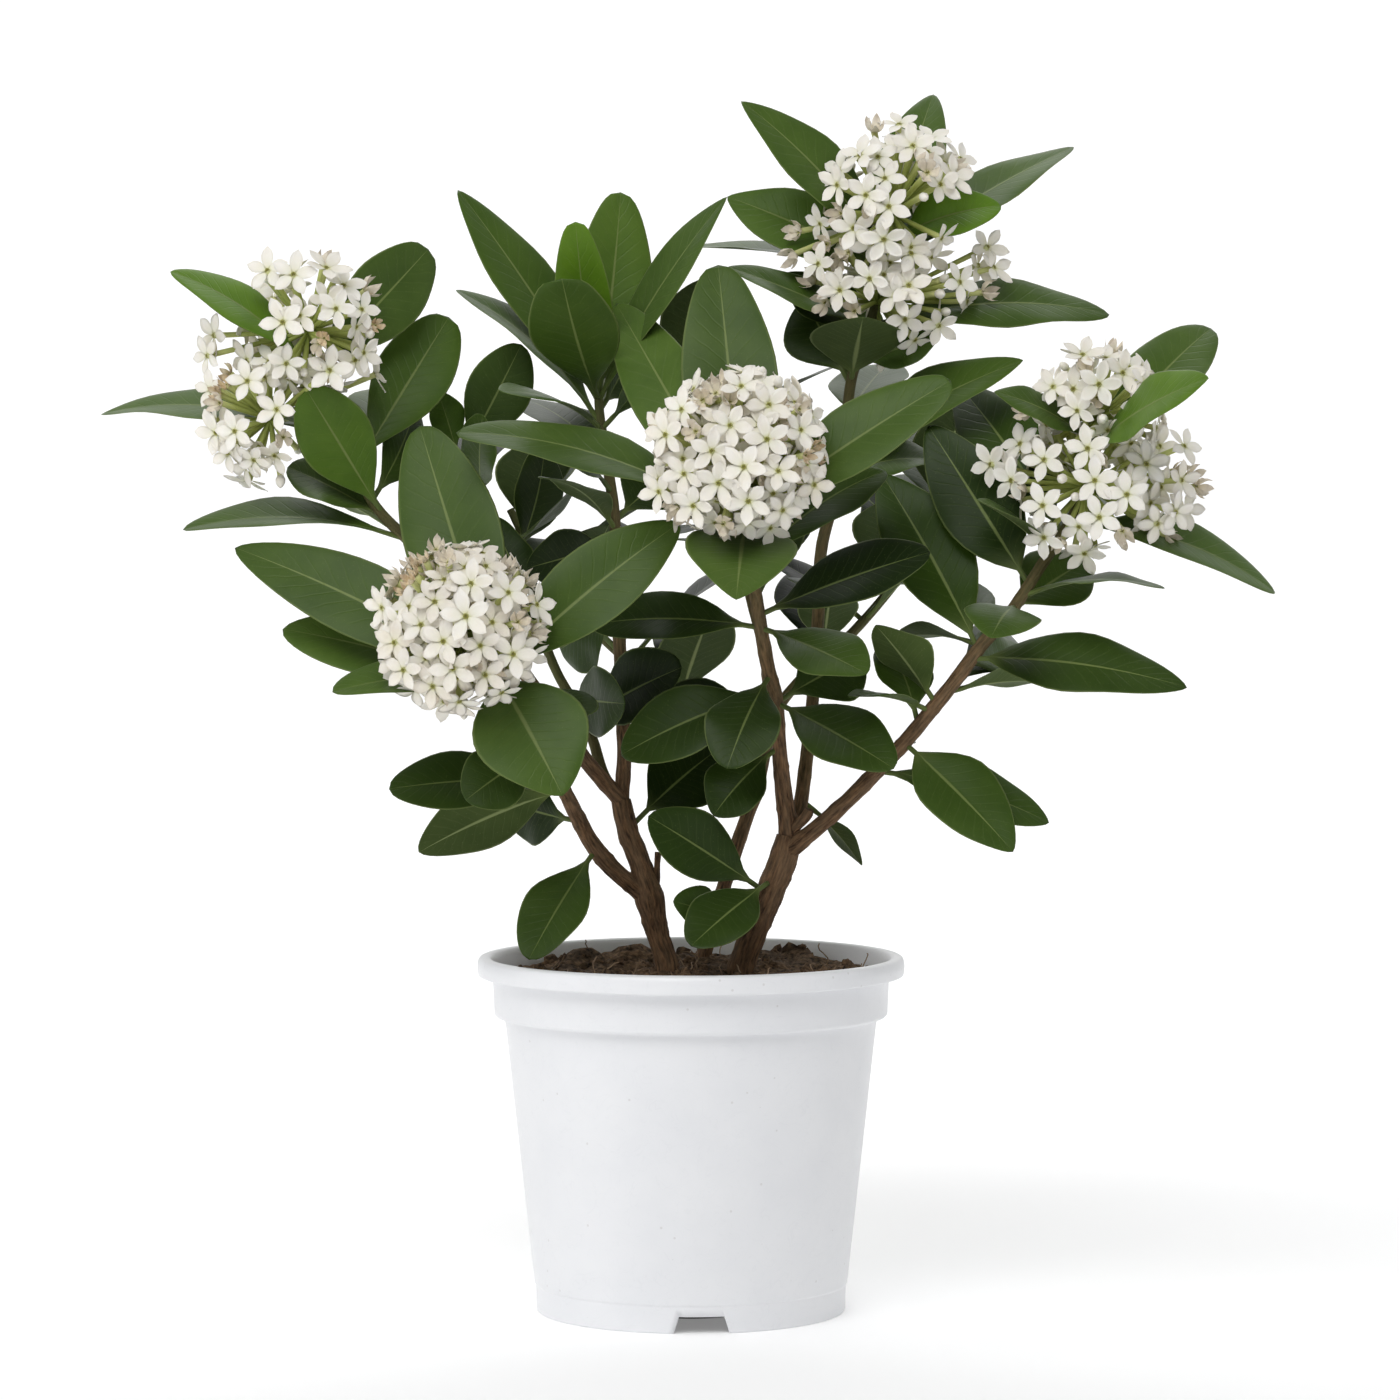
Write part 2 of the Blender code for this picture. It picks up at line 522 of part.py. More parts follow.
def stick_object(name, start, end, radius, sides, collection):
    """A thin straight tube from one point to another."""
    work = bmesh.new()
    run = end - start
    matrix = Matrix.Translation((start + end) / 2) @ run.to_track_quat("Z", "Y").to_matrix().to_4x4()
    bmesh.ops.create_cone(work, cap_ends=True, segments=sides, radius1=radius * MM, radius2=radius * MM,
                          depth=run.length, matrix=matrix)
    mesh = bpy.data.meshes.new(name)
    work.to_mesh(mesh)
    work.free()
    made = bpy.data.objects.new(name, mesh)
    collection.objects.link(made)
    return made


def core_object(name, centre, radius, collection, segments=8):
    work = bmesh.new()
    bmesh.ops.create_uvsphere(work, u_segments=segments, v_segments=segments // 2 + 1, radius=radius * MM,
                              matrix=Matrix.Translation(centre))
    mesh = bpy.data.meshes.new(name)
    work.to_mesh(mesh)
    work.free()
    made = bpy.data.objects.new(name, mesh)
    collection.objects.link(made)
    return made


def clear_floret(centre, core, place, facing, turn, others, cutters):
    """Where a floret is clear, drawn in towards the core if it has to be, and the room it takes."""
    for pull in (1, 0.93, 0.86, 0.78):
        spot = centre + (place - centre) * pull
        root = centre + (spot - centre).normalized() * (core * TUBE_ROOT * MM)
        margin = floret_object("margin", spot, root, facing, turn, STAR_MARGIN, cutters)
        tree = tree_of(margin)
        bpy.data.objects.remove(margin)
        if not any(meets(tree, other) for other in others):
            return spot, root, tree
    return None, None, None


def whorl_places(name):
    """Where a whorl's florets stand, as (place, the way each faces)."""
    _stem, middle, reach, _core, front, back_count = WHORLS[name]
    centre = seen(*middle)
    to_eye = Vector((0, -1, 0.02))
    draw = random.Random(name)
    places = []
    for across, height in front:
        flat = seen(across, height, middle[2]) - centre
        inside = max((reach * MM) ** 2 - flat.length_squared, (reach * LEAST_FORWARD * MM) ** 2) ** 0.5
        place = centre + flat + Vector((0, -inside - draw.uniform(-3, 3) * MM, 0))
        outward = (place - centre).normalized()
        places.append((place, (outward + to_eye * 0.9).normalized()))
    golden = math.pi * (3 - math.sqrt(5))
    for k in range(back_count):
        lift = 0.75 - 1.35 * (k + 0.5) / back_count
        turn = (k * golden) % math.pi
        flat = math.sqrt(1 - lift * lift)
        outward = Vector((flat * math.cos(turn), flat * math.sin(turn) * 0.9 + 0.25, lift)).normalized()
        places.append((centre + outward * (reach * MM * 0.95), outward))
    return centre, places


def turned(name, profile, steps, collection):
    """A closed profile (radius, height) turned round the pot's axis."""
    mesh = bpy.data.meshes.new(name)
    points = [(radius * MM, 0, height * MM) for radius, height in profile]
    mesh.from_pydata(points, [(i, i + 1) for i in range(len(points) - 1)], [])
    made = bpy.data.objects.new(name, mesh)
    collection.objects.link(made)
    screw = made.modifiers.new("Turned", "SCREW")
    screw.steps = steps
    screw.render_steps = steps
    screw.use_merge_vertices = True
    screw.merge_threshold = 0.00001
    apply_modifiers(made)
    return made


def box_cutter(name, size, matrix, collection):
    work = bmesh.new()
    bmesh.ops.create_cube(work, size=1, matrix=matrix @ Matrix.Diagonal((*size, 1)))
    mesh = bpy.data.meshes.new(name)
    work.to_mesh(mesh)
    work.free()
    made = bpy.data.objects.new(name, mesh)
    collection.objects.link(made)
    return made


def make_pot(collection, cutters):
    """The pot: a turned shell with a rolled lip, a collar, a foot ring and a raised channel in its floor."""
    inner_top = RIM_RADIUS - 6.5
    profile = [
        (0, WALL), (CHANNEL_INNER_RADIUS - 2, WALL), (CHANNEL_INNER_RADIUS + 1.5, CHANNEL_HEIGHT + WALL),
        (FOOT_RADIUS - WALL + 0.3, CHANNEL_HEIGHT + WALL), (BODY_TOP_RADIUS - WALL, BODY_TOP - 2),
        (COLLAR_RADIUS - WALL, COLLAR_BOTTOM), (COLLAR_RADIUS - WALL + 0.4, LIP_BOTTOM),
        (inner_top, POT_HEIGHT - 1), (inner_top + 1.5, POT_HEIGHT), (RIM_RADIUS - 1.5, POT_HEIGHT),
        (RIM_RADIUS, POT_HEIGHT - 1.8), (RIM_RADIUS - 0.3, LIP_BOTTOM), (COLLAR_RADIUS + 0.5, LIP_BOTTOM),
        (COLLAR_RADIUS - 0.3, COLLAR_BOTTOM), (BODY_TOP_RADIUS, BODY_TOP), (FOOT_RADIUS + 0.9, 12),
        (FOOT_RADIUS + 0.2, 11.3), (FOOT_RADIUS, 0), (FOOT_RADIUS - 4.5, 0),
        (FOOT_RADIUS - 6, CHANNEL_HEIGHT), (CHANNEL_INNER_RADIUS, CHANNEL_HEIGHT),
        (CHANNEL_INNER_RADIUS - 1.5, 0), (0, 0)]
    pot = turned("pot", profile, POT_STEPS, collection)
    for k in range(NOTCH_COUNT):
        turn = Matrix.Rotation(math.radians(NOTCH_TURN + 360 * k / NOTCH_COUNT), 4, "Z")
        place = Matrix.Translation((0, -FOOT_RADIUS * MM, 0))
        notch = box_cutter("notch_cutter", (NOTCH_WIDTH * MM, 16 * MM, 15 * MM), turn @ place, cutters)
        for vertex in notch.data.vertices:
            if vertex.co.z > 0:
                local = (turn @ place).inverted() @ vertex.co
                local.x *= 0.68
                vertex.co = turn @ place @ local
        cut(pot, notch)
    for k in range(DRAIN_COUNT):
        turn = math.radians(360 * (k + 0.5) / DRAIN_COUNT)
        spot = Vector((math.cos(turn) * DRAIN_CIRCLE, math.sin(turn) * DRAIN_CIRCLE, 0)) * MM
        drain = stick_object("drain_cutter", spot + Vector((0, 0, 3 * MM)), spot + Vector((0, 0, 14 * MM)),
                             DRAIN_RADIUS, 10, cutters)
        cut(pot, drain)
    return pot


def soil_rise(x, y):
    """How far the soil stands above its level at a place, in millimetres."""
    lumps = 1.6 * math.sin(x / 9.5 + 1.3) * math.cos(y / 8.2) + 1.1 * math.sin(x / 5.1 - y / 6.3)
    back = 2.6 * max(0, min(1, (y - 20) / 50))
    clods = 0
    for clod_x, clod_y, size, height in ((47, 62, 11, 4.5), (-50, 55, 12, 3.5), (-25, 70, 9, 2.5),
                                         (74, 30, 9, 2.5), (20, -45, 13, 3), (-40, -30, 11, 3)):
        away = math.hypot(x - clod_x, y - clod_y) / size
        clods = max(clods, height * max(0, 1 - away * away))
    return lumps + back + clods


def make_soil(collection):
    """The soil: a turned plug that fits the pot with a thin gap, with its top raised in lumps."""
    gap = 0.4
    under = [(FOOT_RADIUS - WALL - 0.4, CHANNEL_HEIGHT + WALL + gap),
             (CHANNEL_INNER_RADIUS + 1.2, CHANNEL_HEIGHT + WALL + gap), (CHANNEL_INNER_RADIUS - 2.4, WALL + gap),
             (0, WALL + gap)]
    side = [(COLLAR_RADIUS - WALL - 0.6, COLLAR_BOTTOM + 1.5), (BODY_TOP_RADIUS - WALL - 0.6, BODY_TOP - 1)]
    profile = [(radius, SOIL_LEVEL) for radius in SOIL_RINGS] + [(84.8, SOIL_LEVEL - 3)] + side + under
    soil = turned("soil", profile, SOIL_STEPS, collection)
    for vertex in soil.data.vertices:
        if vertex.co.z > (SOIL_LEVEL - 1) * MM:
            fade = 1 if vertex.co.xy.length < 0.08 else 0.5
            vertex.co.z += soil_rise(vertex.co.x / MM, vertex.co.y / MM) * fade * MM
    return soil


def main():
    for item in list(bpy.data.objects):
        bpy.data.objects.remove(item)
    plant = new_collection("potted_bushmans_poison", bpy.context.scene.collection)
    cutters = new_collection("cutters", bpy.context.scene.collection)
    plastic = material("white_plastic", (0.8, 0.81, 0.82), 0.4)
    earth = material("potting_soil", (0.05, 0.032, 0.022), 0.95)
    bark = material("brown_bark", (0.12, 0.07, 0.045), 0.85)
    green = material("leaf_green", (0.05, 0.11, 0.035), 0.4)
    white = material("petal_white", (0.88, 0.86, 0.78), 0.5)

    pot = make_pot(plant, cutters)
    paint(pot, plastic)
    soil = make_soil(plant)

    wood, shoots, obstacles = {}, {}, {}
    for name, points in STEMS.items():
        path = smooth_path(points)
        if name in PARENTS:
            arm, shoot = split_path(path, ARM_LENGTH * MM, SEAT_GAP * MM)
            wood[PARENTS[name]].append(tube(name + "_arm", arm, plant))
            swelling = nearest(STEMS[PARENTS[name]], points[0])[3] * FORK_SWELLING
            wood[PARENTS[name]].append(core_object(name + "_fork", arm[0][0], swelling, plant, 6))
            shoots[name] = shoot
        else:
            wood[name] = [tube(name, path, plant)]
            cutter = tube(name + "_hole", [(path[0][0] - Vector((0, 0, SEAT_GAP * MM)), path[0][1])] + path[1:6],
                          cutters, grow=SEAT_GAP * MM)
            cut(soil, cutter)
    paint(soil, earth)
    for name, points in SNAGS.items():
        wood[name].append(tube(name + "_snag", smooth_path(points, 6), plant, sides=0))
    for name, pieces in wood.items():
        fuse(pieces[0], pieces[1:])
        paint(pieces[0], bark)
        obstacles[name] = [(tree_of(pieces[0]),) * 2]
    stems = {}
    for name, path in shoots.items():
        stems[name] = tube(name, path, plant)
        thick = tube(name + "_clearance", path, cutters, grow=STEM_MARGIN * MM)
        obstacles[name] = [(tree_of(thick),) * 2]
        bpy.data.objects.remove(thick)
    obstacles["pot"] = [(tree_of(pot),) * 2, (tree_of(soil),) * 2]

    cores = {}
    for name, (_stem, middle, _reach, core, _front, _back) in WHORLS.items():
        cores[name] = core_object(name, seen(*middle), core, plant)
        margin = core_object("margin", seen(*middle), core + CORE_MARGIN, cutters)
        obstacles[name] = [(tree_of(margin),) * 2]
        bpy.data.objects.remove(margin)

    florets = {name: [] for name in WHORLS}

    def bloom(name, in_front):
        """Adds a whorl's florets, those seen in front or those round its back."""
        _stem, _middle, _reach, core, front, _back = WHORLS[name]
        centre, places = whorl_places(name)
        draw = random.Random(name + "turns")
        others = [pair[0] for node, pairs in obstacles.items() if node != name for pair in pairs]
        for k, (place, facing) in enumerate(places):
            turn = draw.uniform(0, 1.25)
            if (k < len(front)) != in_front:
                continue
            spot, root, tree = clear_floret(centre, core, place, facing, turn, others, cutters)
            if spot is None:
                dropped.append(f"{name}_{k}")
                continue
            obstacles[name].append((tree, tree))
            florets[name].append(floret_object(f"{name}_{k}", spot, root, facing, turn, 0, plant))

    dropped = []
    for name in WHORLS:
        bloom(name, True)

    net = leaf_net()
    order, faces, _blade_faces = net
    leaves = {name: [] for name in shoots}

    fine_paths = {name: smooth_path(points, 2.0) for name, points in STEMS.items()}

    def foot_on(name, height):
        """The place on a stem's middle line, past its arm and short of its end, at this height."""
        path, walked, spots = fine_paths[name], 0.0, []
        for k in range(1, len(path) - 1):
            walked += (path[k][0] - path[k - 1][0]).length
            if walked > (ARM_LENGTH + 4) * MM:
                spots.append(path[k][0])
        return min(spots, key=lambda spot: abs(drawn_height(spot) - height))

    def grow_leaf(name, owner, foot, tip, width, facing, seed):
        others = [pair for node, pairs in obstacles.items() if node != owner for pair in pairs]
        siblings = obstacles[owner][1:]
        leaf, check = place_leaf(foot, tip, width, facing, seed, others, siblings, net)
        if leaf is None:
            dropped.append(name)
            return None
        obstacles[owner].append(check)
        return leaf

    for node, (stem, row) in WOOD_LEAVES.items():
        height, across, tip_height, depth, width, azimuth, elevation = row
        path = fine_paths[stem]
        k = min(range(1, len(path)), key=lambda k: abs(drawn_height(path[k][0]) - height))
        run = (path[k][0] - path[k - 1][0]).normalized()
        tip = seen(across, tip_height, depth)
        out = tip - path[k][0]
        out = (out - run * out.dot(run)).normalized()
        bare = obstacles.pop(stem)
        surface = bare[0][0][2].ray_cast(path[k][0] + out * (4 * path[k][1]), -out)[0]
        for gap in WOOD_LEAF_GAPS:
            obstacles[node] = obstacles["pot"][:1]
            leaf = grow_leaf(node, node, surface + out * (gap * MM), tip, width,
                             facing_vector(azimuth, elevation), node)
            if leaf and not meets(obstacle(leaf_points(leaf, order), faces), bare[0][0]):
                break
        obstacles[stem] = bare
        if leaf:
            paint(leaf_object(node, leaf, order, faces, plant), green)
    for name, rows in LEAVES.items():
        for k, (height, across, tip_height, depth, width, azimuth, elevation) in enumerate(rows):
            foot = foot_on(name, height)
            leaf = grow_leaf(f"{name}_{k}", name, foot, seen(across, tip_height, depth), width,
                             facing_vector(azimuth, elevation), f"{name}{k}")
            if leaf:
                leaves[name].append(leaf)
    rows = [(name, first + spacing * pair, 90 * pair + 180 * mate, BACK_LEAF_LIFT - 5 * mate, BACK_LEAF_LENGTH)
            for name, (pairs, first, spacing) in BACK_PAIRS.items() for pair in range(pairs) for mate in (0, 1)]
    for k, (name, height, azimuth, lift, length) in enumerate(HIDDEN_LEAVES + rows):
        foot = foot_on(name, height)
        out = facing_vector(azimuth + 15 * math.sin(k * 2.4), lift)
        tip = foot + out * (length * (0.92 + 0.1 * math.sin(k * 1.7)) * MM)
        leaf = grow_leaf(f"{name}_back_{k}", name, foot, tip, BACK_LEAF_WIDTH, Vector((0, 0, 1)) - out * 0.3, k)
        if leaf:
            leaves[name].append(leaf)
    for name, placed in leaves.items():
        pieces = [leaf_object(f"{name}_leaf_{k}", leaf, order, faces, plant) for k, leaf in enumerate(placed)]
        fuse(stems[name], pieces)
        paint(stems[name], green)

    for name in WHORLS:
        bloom(name, False)
    for name, (stem, _middle, _reach, _core, _front, _back) in WHORLS.items():
        pieces = florets[name]
        fuse(cores[name], pieces)
        channel = tube(name + "_channel", shoots[stem][:-1] + [
            (shoots[stem][-1][0] + (shoots[stem][-1][0] - shoots[stem][-2][0]).normalized() * SEAT_GAP * MM,
             shoots[stem][-1][1])], cutters, grow=SEAT_GAP * MM)
        cut(cores[name], channel, "MANIFOLD")
        paint(cores[name], white)
    print("left out for want of room:", len(dropped), dropped)
    print("leaves:", sum(len(placed) for placed in leaves.values()) + len(WOOD_LEAVES))


main()
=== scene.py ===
# %% [markdown]
# # A potted bushmans poison, dressed for the studio
#
# The real plant is an evergreen shrub in a white nursery pot: ridged brown wood, leathery leaves with a
# pale midrib, and round heads of white stars on thin green tubes. The solids that carry it are already made
# and measured. This script loads them and lays a finer piece over each, so everything here is in metres, in
# the solids' own frame. Their box is kept, because the finished plant has to stay inside it. Their box is
# kept and printed.

# %% Load the solids
import math
import random

import bmesh
import bpy
from mathutils import Matrix, Quaternion, Vector, noise
from mathutils.bvhtree import BVHTree
from mathutils.kdtree import KDTree


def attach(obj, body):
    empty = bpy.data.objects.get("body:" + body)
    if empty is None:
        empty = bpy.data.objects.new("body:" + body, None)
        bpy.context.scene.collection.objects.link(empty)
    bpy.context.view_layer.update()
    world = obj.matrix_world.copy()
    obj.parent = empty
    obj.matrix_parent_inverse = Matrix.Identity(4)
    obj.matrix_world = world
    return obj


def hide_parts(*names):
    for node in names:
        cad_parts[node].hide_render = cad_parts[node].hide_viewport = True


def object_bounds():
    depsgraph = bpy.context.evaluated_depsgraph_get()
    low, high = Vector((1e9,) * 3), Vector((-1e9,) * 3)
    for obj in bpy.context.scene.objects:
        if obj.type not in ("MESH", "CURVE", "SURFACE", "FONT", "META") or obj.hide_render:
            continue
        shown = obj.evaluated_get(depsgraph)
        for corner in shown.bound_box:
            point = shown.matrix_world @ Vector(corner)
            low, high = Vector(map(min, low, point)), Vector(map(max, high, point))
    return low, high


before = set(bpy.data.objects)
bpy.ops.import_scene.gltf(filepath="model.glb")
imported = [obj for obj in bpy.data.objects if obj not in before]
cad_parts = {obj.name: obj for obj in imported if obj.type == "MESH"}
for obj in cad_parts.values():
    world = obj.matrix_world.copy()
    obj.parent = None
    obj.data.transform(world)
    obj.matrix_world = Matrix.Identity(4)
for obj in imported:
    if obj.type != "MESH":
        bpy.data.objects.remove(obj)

MM = 0.001
cad_box = [list(corner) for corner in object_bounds()]
print("solids:", len(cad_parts), "box:", cad_box)

# %% [markdown]
# ## Camera
#
# A plant keeps its likeness only when it is seen from the right distance: from too near, the front leaves
# grow and hide the rest. The picture was taken from a little over two metres, slightly above the pot, so a
# long lens is used, and its angle follows from the height of the frame at that distance.

# %% Place the camera
EYE_DISTANCE = 2310
EYE_HEIGHT = 378
VIEW_ANGLE = 15.29
AIM = Vector((4, 0, 271.6)) * MM


def show(made):
    """Puts an object into the scene."""
    bpy.context.scene.collection.objects.link(made)
    return made


def look(made, place, aim):
    """Stands a camera or a light at a place and turns it to another."""
    made.location = place
    made.rotation_euler = (Vector(aim) - Vector(place)).to_track_quat("-Z", "Y").to_euler()
    return show(made)


eye = look(bpy.data.objects.new("eye", bpy.data.cameras.new("eye")),
           Vector((0, -EYE_DISTANCE, EYE_HEIGHT)) * MM, AIM)
eye.data.sensor_width = 36
eye.data.lens = eye.data.sensor_width / 2 / math.tan(math.radians(VIEW_ANGLE / 2))
bpy.context.scene.camera = eye
print("lens", round(eye.data.lens, 1), "mm")

# %% [markdown]
# ## Studio
#
# The plant stands on white paper that curves up behind it, so no horizon shows. One wide soft light hangs
# in front and above, a weaker one stands on each side, a faint one behind lifts the rims of the leaves, and
# one more lights only the paper at the back. The world adds an even fill. Soft light gives leathery leaves
# their satin, and leaves only a faint shadow under the pot.

# %% Paper sweep and lights
SWEEP_WIDTH = 9
SWEEP_FRONT = -4
SWEEP_BACK = 2.2
SWEEP_RADIUS = 1.6
SWEEP_TOP = 6
CURVE_STEPS = 24
# Name, place, what it looks at, size in metres and power in watts
LIGHTS = (("light_front_above", (-0.5, -1.9, 2.3), (0, 0, 0.3), 2.0, 47),
          ("light_left", (-2.2, -0.6, 1.1), (0, 0, 0.3), 2.4, 16),
          ("light_right", (2.2, -0.4, 1.3), (0, 0, 0.3), 2.0, 7),
          ("light_behind", (0.2, 1.4, 2.0), (0, 0, 0.4), 1.2, 6),
          ("light_backdrop", (0, 1.3, 2.6), (0, 3.4, 0.9), 2.2, 46))


def mesh_of(name, verts, faces):
    """A new mesh from corners and faces."""
    mesh = bpy.data.meshes.new(name)
    mesh.from_pydata(verts, [], faces)
    return mesh


def plain_object(name, mesh):
    """A smooth mesh object at the origin, shown in the scene."""
    mesh.name = name
    mesh.polygons.foreach_set("use_smooth", [True] * len(mesh.polygons))
    return show(bpy.data.objects.new(name, mesh))


def set_inputs(node, values):
    """Writes plain values into a node's inputs."""
    for label, value in values.items():
        node.inputs[label].default_value = value


# The paper's side view: flat floor, a quarter circle and a wall
profile = [(SWEEP_FRONT, 0.0), (0.0, 0.0)]
for k in range(CURVE_STEPS + 1):
    turn = math.radians(90 * k / CURVE_STEPS)
    profile.append((SWEEP_BACK + SWEEP_RADIUS * math.sin(turn), SWEEP_RADIUS * (1 - math.cos(turn))))
profile.append((SWEEP_BACK + SWEEP_RADIUS, SWEEP_TOP))
sweep = plain_object("paper_sweep", mesh_of(
    "paper_sweep", [(side * SWEEP_WIDTH / 2, y, z) for y, z in profile for side in (-1, 1)],
    [(2 * k, 2 * k + 1, 2 * k + 3, 2 * k + 2) for k in range(len(profile) - 1)]))
paper = bpy.data.materials.new("studio_paper")
paper.use_nodes = True
set_inputs(paper.node_tree.nodes["Principled BSDF"], {
    "Base Color": (0.93, 0.93, 0.93, 1), "Roughness": 0.9, "Emission Color": (1, 1, 1, 1),
    "Emission Strength": 0.2})
sweep.data.materials.append(paper)
for name, place, aim, size, power in LIGHTS:
    lamp = bpy.data.lights.new(name, "AREA")
    lamp.size, lamp.energy = size, power
    look(bpy.data.objects.new(name, lamp), place, aim)
sky = bpy.data.worlds.new("studio")
sky.use_nodes = True
set_inputs(sky.node_tree.nodes["Background"], {"Color": (0.97, 0.98, 1, 1), "Strength": 0.17})
bpy.context.scene.world = sky
bpy.context.scene.view_settings.view_transform = "Standard"

# %% [markdown]
# ## Wiring node trees
#
# Geometry Nodes and shaders are wired the same way, so one small class does both. A Sheet is a tree that is
# being drawn, and put adds a node to it: its settings are written, and each input gets a plain value or a
# wire from another node. A Wire is a node's output. Wires can be added, multiplied and compared like
# numbers, and each such sum becomes a node of its own.

# %% Sheets and wires
class Wire:
    """A node's output; with a number or a name in brackets, another output of the same node."""

    def __init__(self, sheet, socket):
        self.sheet, self.socket = sheet, socket

    def __getitem__(self, key):
        return Wire(self.sheet, self.socket.node.outputs[key])

    def __add__(self, other):
        return self.sheet.sum("ADD", self, other)

    def __sub__(self, other):
        return self.sheet.sum("SUBTRACT", self, other)

    def __rsub__(self, other):
        return self.sheet.sum("SUBTRACT", other, self)

    def __mul__(self, other):
        return self.sheet.sum("MULTIPLY", self, other)

    def __truediv__(self, other):
        return self.sheet.sum("DIVIDE", self, other)

    def __lt__(self, other):
        return self.sheet.sum("LESS_THAN", self, other)


class Sheet:
    """A node tree that is being drawn."""

    def __init__(self, tree, inputs=(), outputs=()):
        self.tree = tree
        for way, rows in (("INPUT", inputs), ("OUTPUT", outputs)):
            for label, kind, *value in rows:
                socket = tree.interface.new_socket(label, in_out=way, socket_type="NodeSocket" + kind)
                if value:
                    socket.default_value = value[0]
        if outputs:
            self.given = Wire(self, tree.nodes.new("NodeGroupInput").outputs[0])
            self.result = tree.nodes.new("NodeGroupOutput")

    def join(self, wire, socket):
        """Leads a wire to a node's input."""
        self.tree.links.new(wire.socket, socket)

    def put(self, kind, wires=None, **settings):
        """Adds a node and returns its first live output."""
        made = self.tree.nodes.new(kind)
        for key, value in settings.items():
            setattr(made, key, value)
        for key, source in (wires or {}).items():
            socket = made.inputs[key] if isinstance(key, int) else next(
                s for s in made.inputs if s.name == key and s.enabled)
            if isinstance(source, Wire):
                self.join(source, socket)
            else:
                socket.default_value = source
        return Wire(self, next(s for s in made.outputs if s.enabled))

    def sum(self, operation, first, second=0.0, clamp=False):
        """One arithmetic step on two values."""
        return self.put("ShaderNodeMath", {0: first, 1: second}, operation=operation, use_clamp=clamp)

    def remap(self, value, low, high, start=0.0, end=1.0):
        """Slides a value from one range to another."""
        return self.put("ShaderNodeMapRange", {"Value": value, "From Min": low, "From Max": high,
                                               "To Min": start, "To Max": end})

    def scaled(self, vector, factor):
        """A vector made longer or shorter."""
        return self.put("ShaderNodeVectorMath", {0: vector, "Scale": factor}, operation="SCALE")

    def close(self, **wires):
        """Joins the results to the tree's outputs."""
        for label, wire in wires.items():
            self.join(wire, self.result.inputs[label.replace("_", " ")])
        return self.tree


# %% [markdown]
# ## Growing and dressing
#
# A geometry tree takes some data and a finish. What it makes is kept as a plain mesh, and the modifier goes.
# Each finished piece is tied to the plant's one body, and the solids that it stands for are hidden.

# %% Grow and dress
class Growth(Sheet):
    """A geometry tree with named inputs: label, socket kind and starting value."""

    def __init__(self, name, inputs):
        super().__init__(bpy.data.node_groups.new(name, "GeometryNodeTree"),
                         [("Geometry", "Geometry")] + inputs + [("Finish", "Material")],
                         [("Geometry", "Geometry")])

    def read(self, name, kind="FLOAT"):
        """A value that the geometry stores."""
        return self.put("GeometryNodeInputNamedAttribute", {"Name": name}, data_type=kind)

    def keep(self, geometry, name, value, kind="FLOAT"):
        """The geometry, with a value stored on it."""
        return self.put("GeometryNodeStoreNamedAttribute", {"Geometry": geometry, "Name": name, "Value": value},
                        data_type=kind)

    def strew(self, selection):
        """Points strewn on the chosen faces of what is given."""
        return self.put("GeometryNodeDistributePointsOnFaces", {
            "Mesh": self.given["Geometry"], "Selection": selection, "Density": self.given["Per square metre"],
            "Seed": self.given["Seed"]})

    def copies(self, points, pattern, turn, scale, **chosen):
        """A pattern copied to points."""
        return self.put("GeometryNodeInstanceOnPoints", {
            "Points": points, **chosen, "Instance": pattern, "Rotation": turn, "Scale": scale})

    def chance(self, low, high, seed, **settings):
        """A random value for each point."""
        keys = (0, 1) if settings else ("Min", "Max")
        return self.put("FunctionNodeRandomValue", {keys[0]: low, keys[1]: high, "Seed": seed}, **settings)

    def compare(self, operation, first, second, kind="FLOAT"):
        """A yes or no for each point or face."""
        return self.put("FunctionNodeCompare", {"A": first, "B": second}, data_type=kind, operation=operation)

    def real(self, geometry):
        """Copies turned into a mesh of their own."""
        return self.put("GeometryNodeRealizeInstances", {"Geometry": geometry})

    def finish(self, geometry):
        """Gives the geometry its finish and ends the tree."""
        self.close(Geometry=self.put("GeometryNodeSetMaterial", {
            "Geometry": geometry, "Material": self.given["Finish"]}))


def settled(piece):
    """What an object's modifiers make of it, as a plain mesh."""
    bpy.context.view_layer.update()
    return bpy.data.meshes.new_from_object(piece.evaluated_get(bpy.context.evaluated_depsgraph_get()))


def grow(name, data, growth, values):
    """Runs a geometry tree on some data and keeps what it makes as a plain mesh object."""
    holder = show(bpy.data.objects.new(name + "_source", data))
    modifier = holder.modifiers.new("Grow", "NODES")
    modifier.node_group = growth.tree
    for item in growth.tree.interface.items_tree:
        if item.item_type == "SOCKET" and item.in_out == "INPUT" and item.name in values:
            modifier[item.identifier] = values[item.name]
    mesh = settled(holder)
    bpy.data.objects.remove(holder)
    return plain_object(name, mesh)


def dress(piece, slot, *nodes):
    """Ties a finished piece to the plant's one body and hides the solids that it stands for; its slot is not used.
    """
    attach(piece, "root")
    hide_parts(*nodes)
    print(f"{piece.name}: {len(piece.data.polygons)} faces")


# %% [markdown]
# ## Effects that several finishes share
#
# Earth, bark, plastic and leaves are all uneven, only at different sizes. One group, Mottle, makes that
# unevenness: it turns a noise into a mask, and mixes a dark and a light colour by it. A second group, Specks,
# gives small separate dots. Each finish places them with its own sizes and colours. The groups put out only
# colours and masks, and the shader stays in the finish.

# %% Shader groups
SPECK_SHARE = 0.28


def shader_group(name, inputs, outputs):
    """A new group for shaders, with its named inputs and outputs."""
    return Sheet(bpy.data.node_groups.new(name, "ShaderNodeTree"), inputs, outputs)


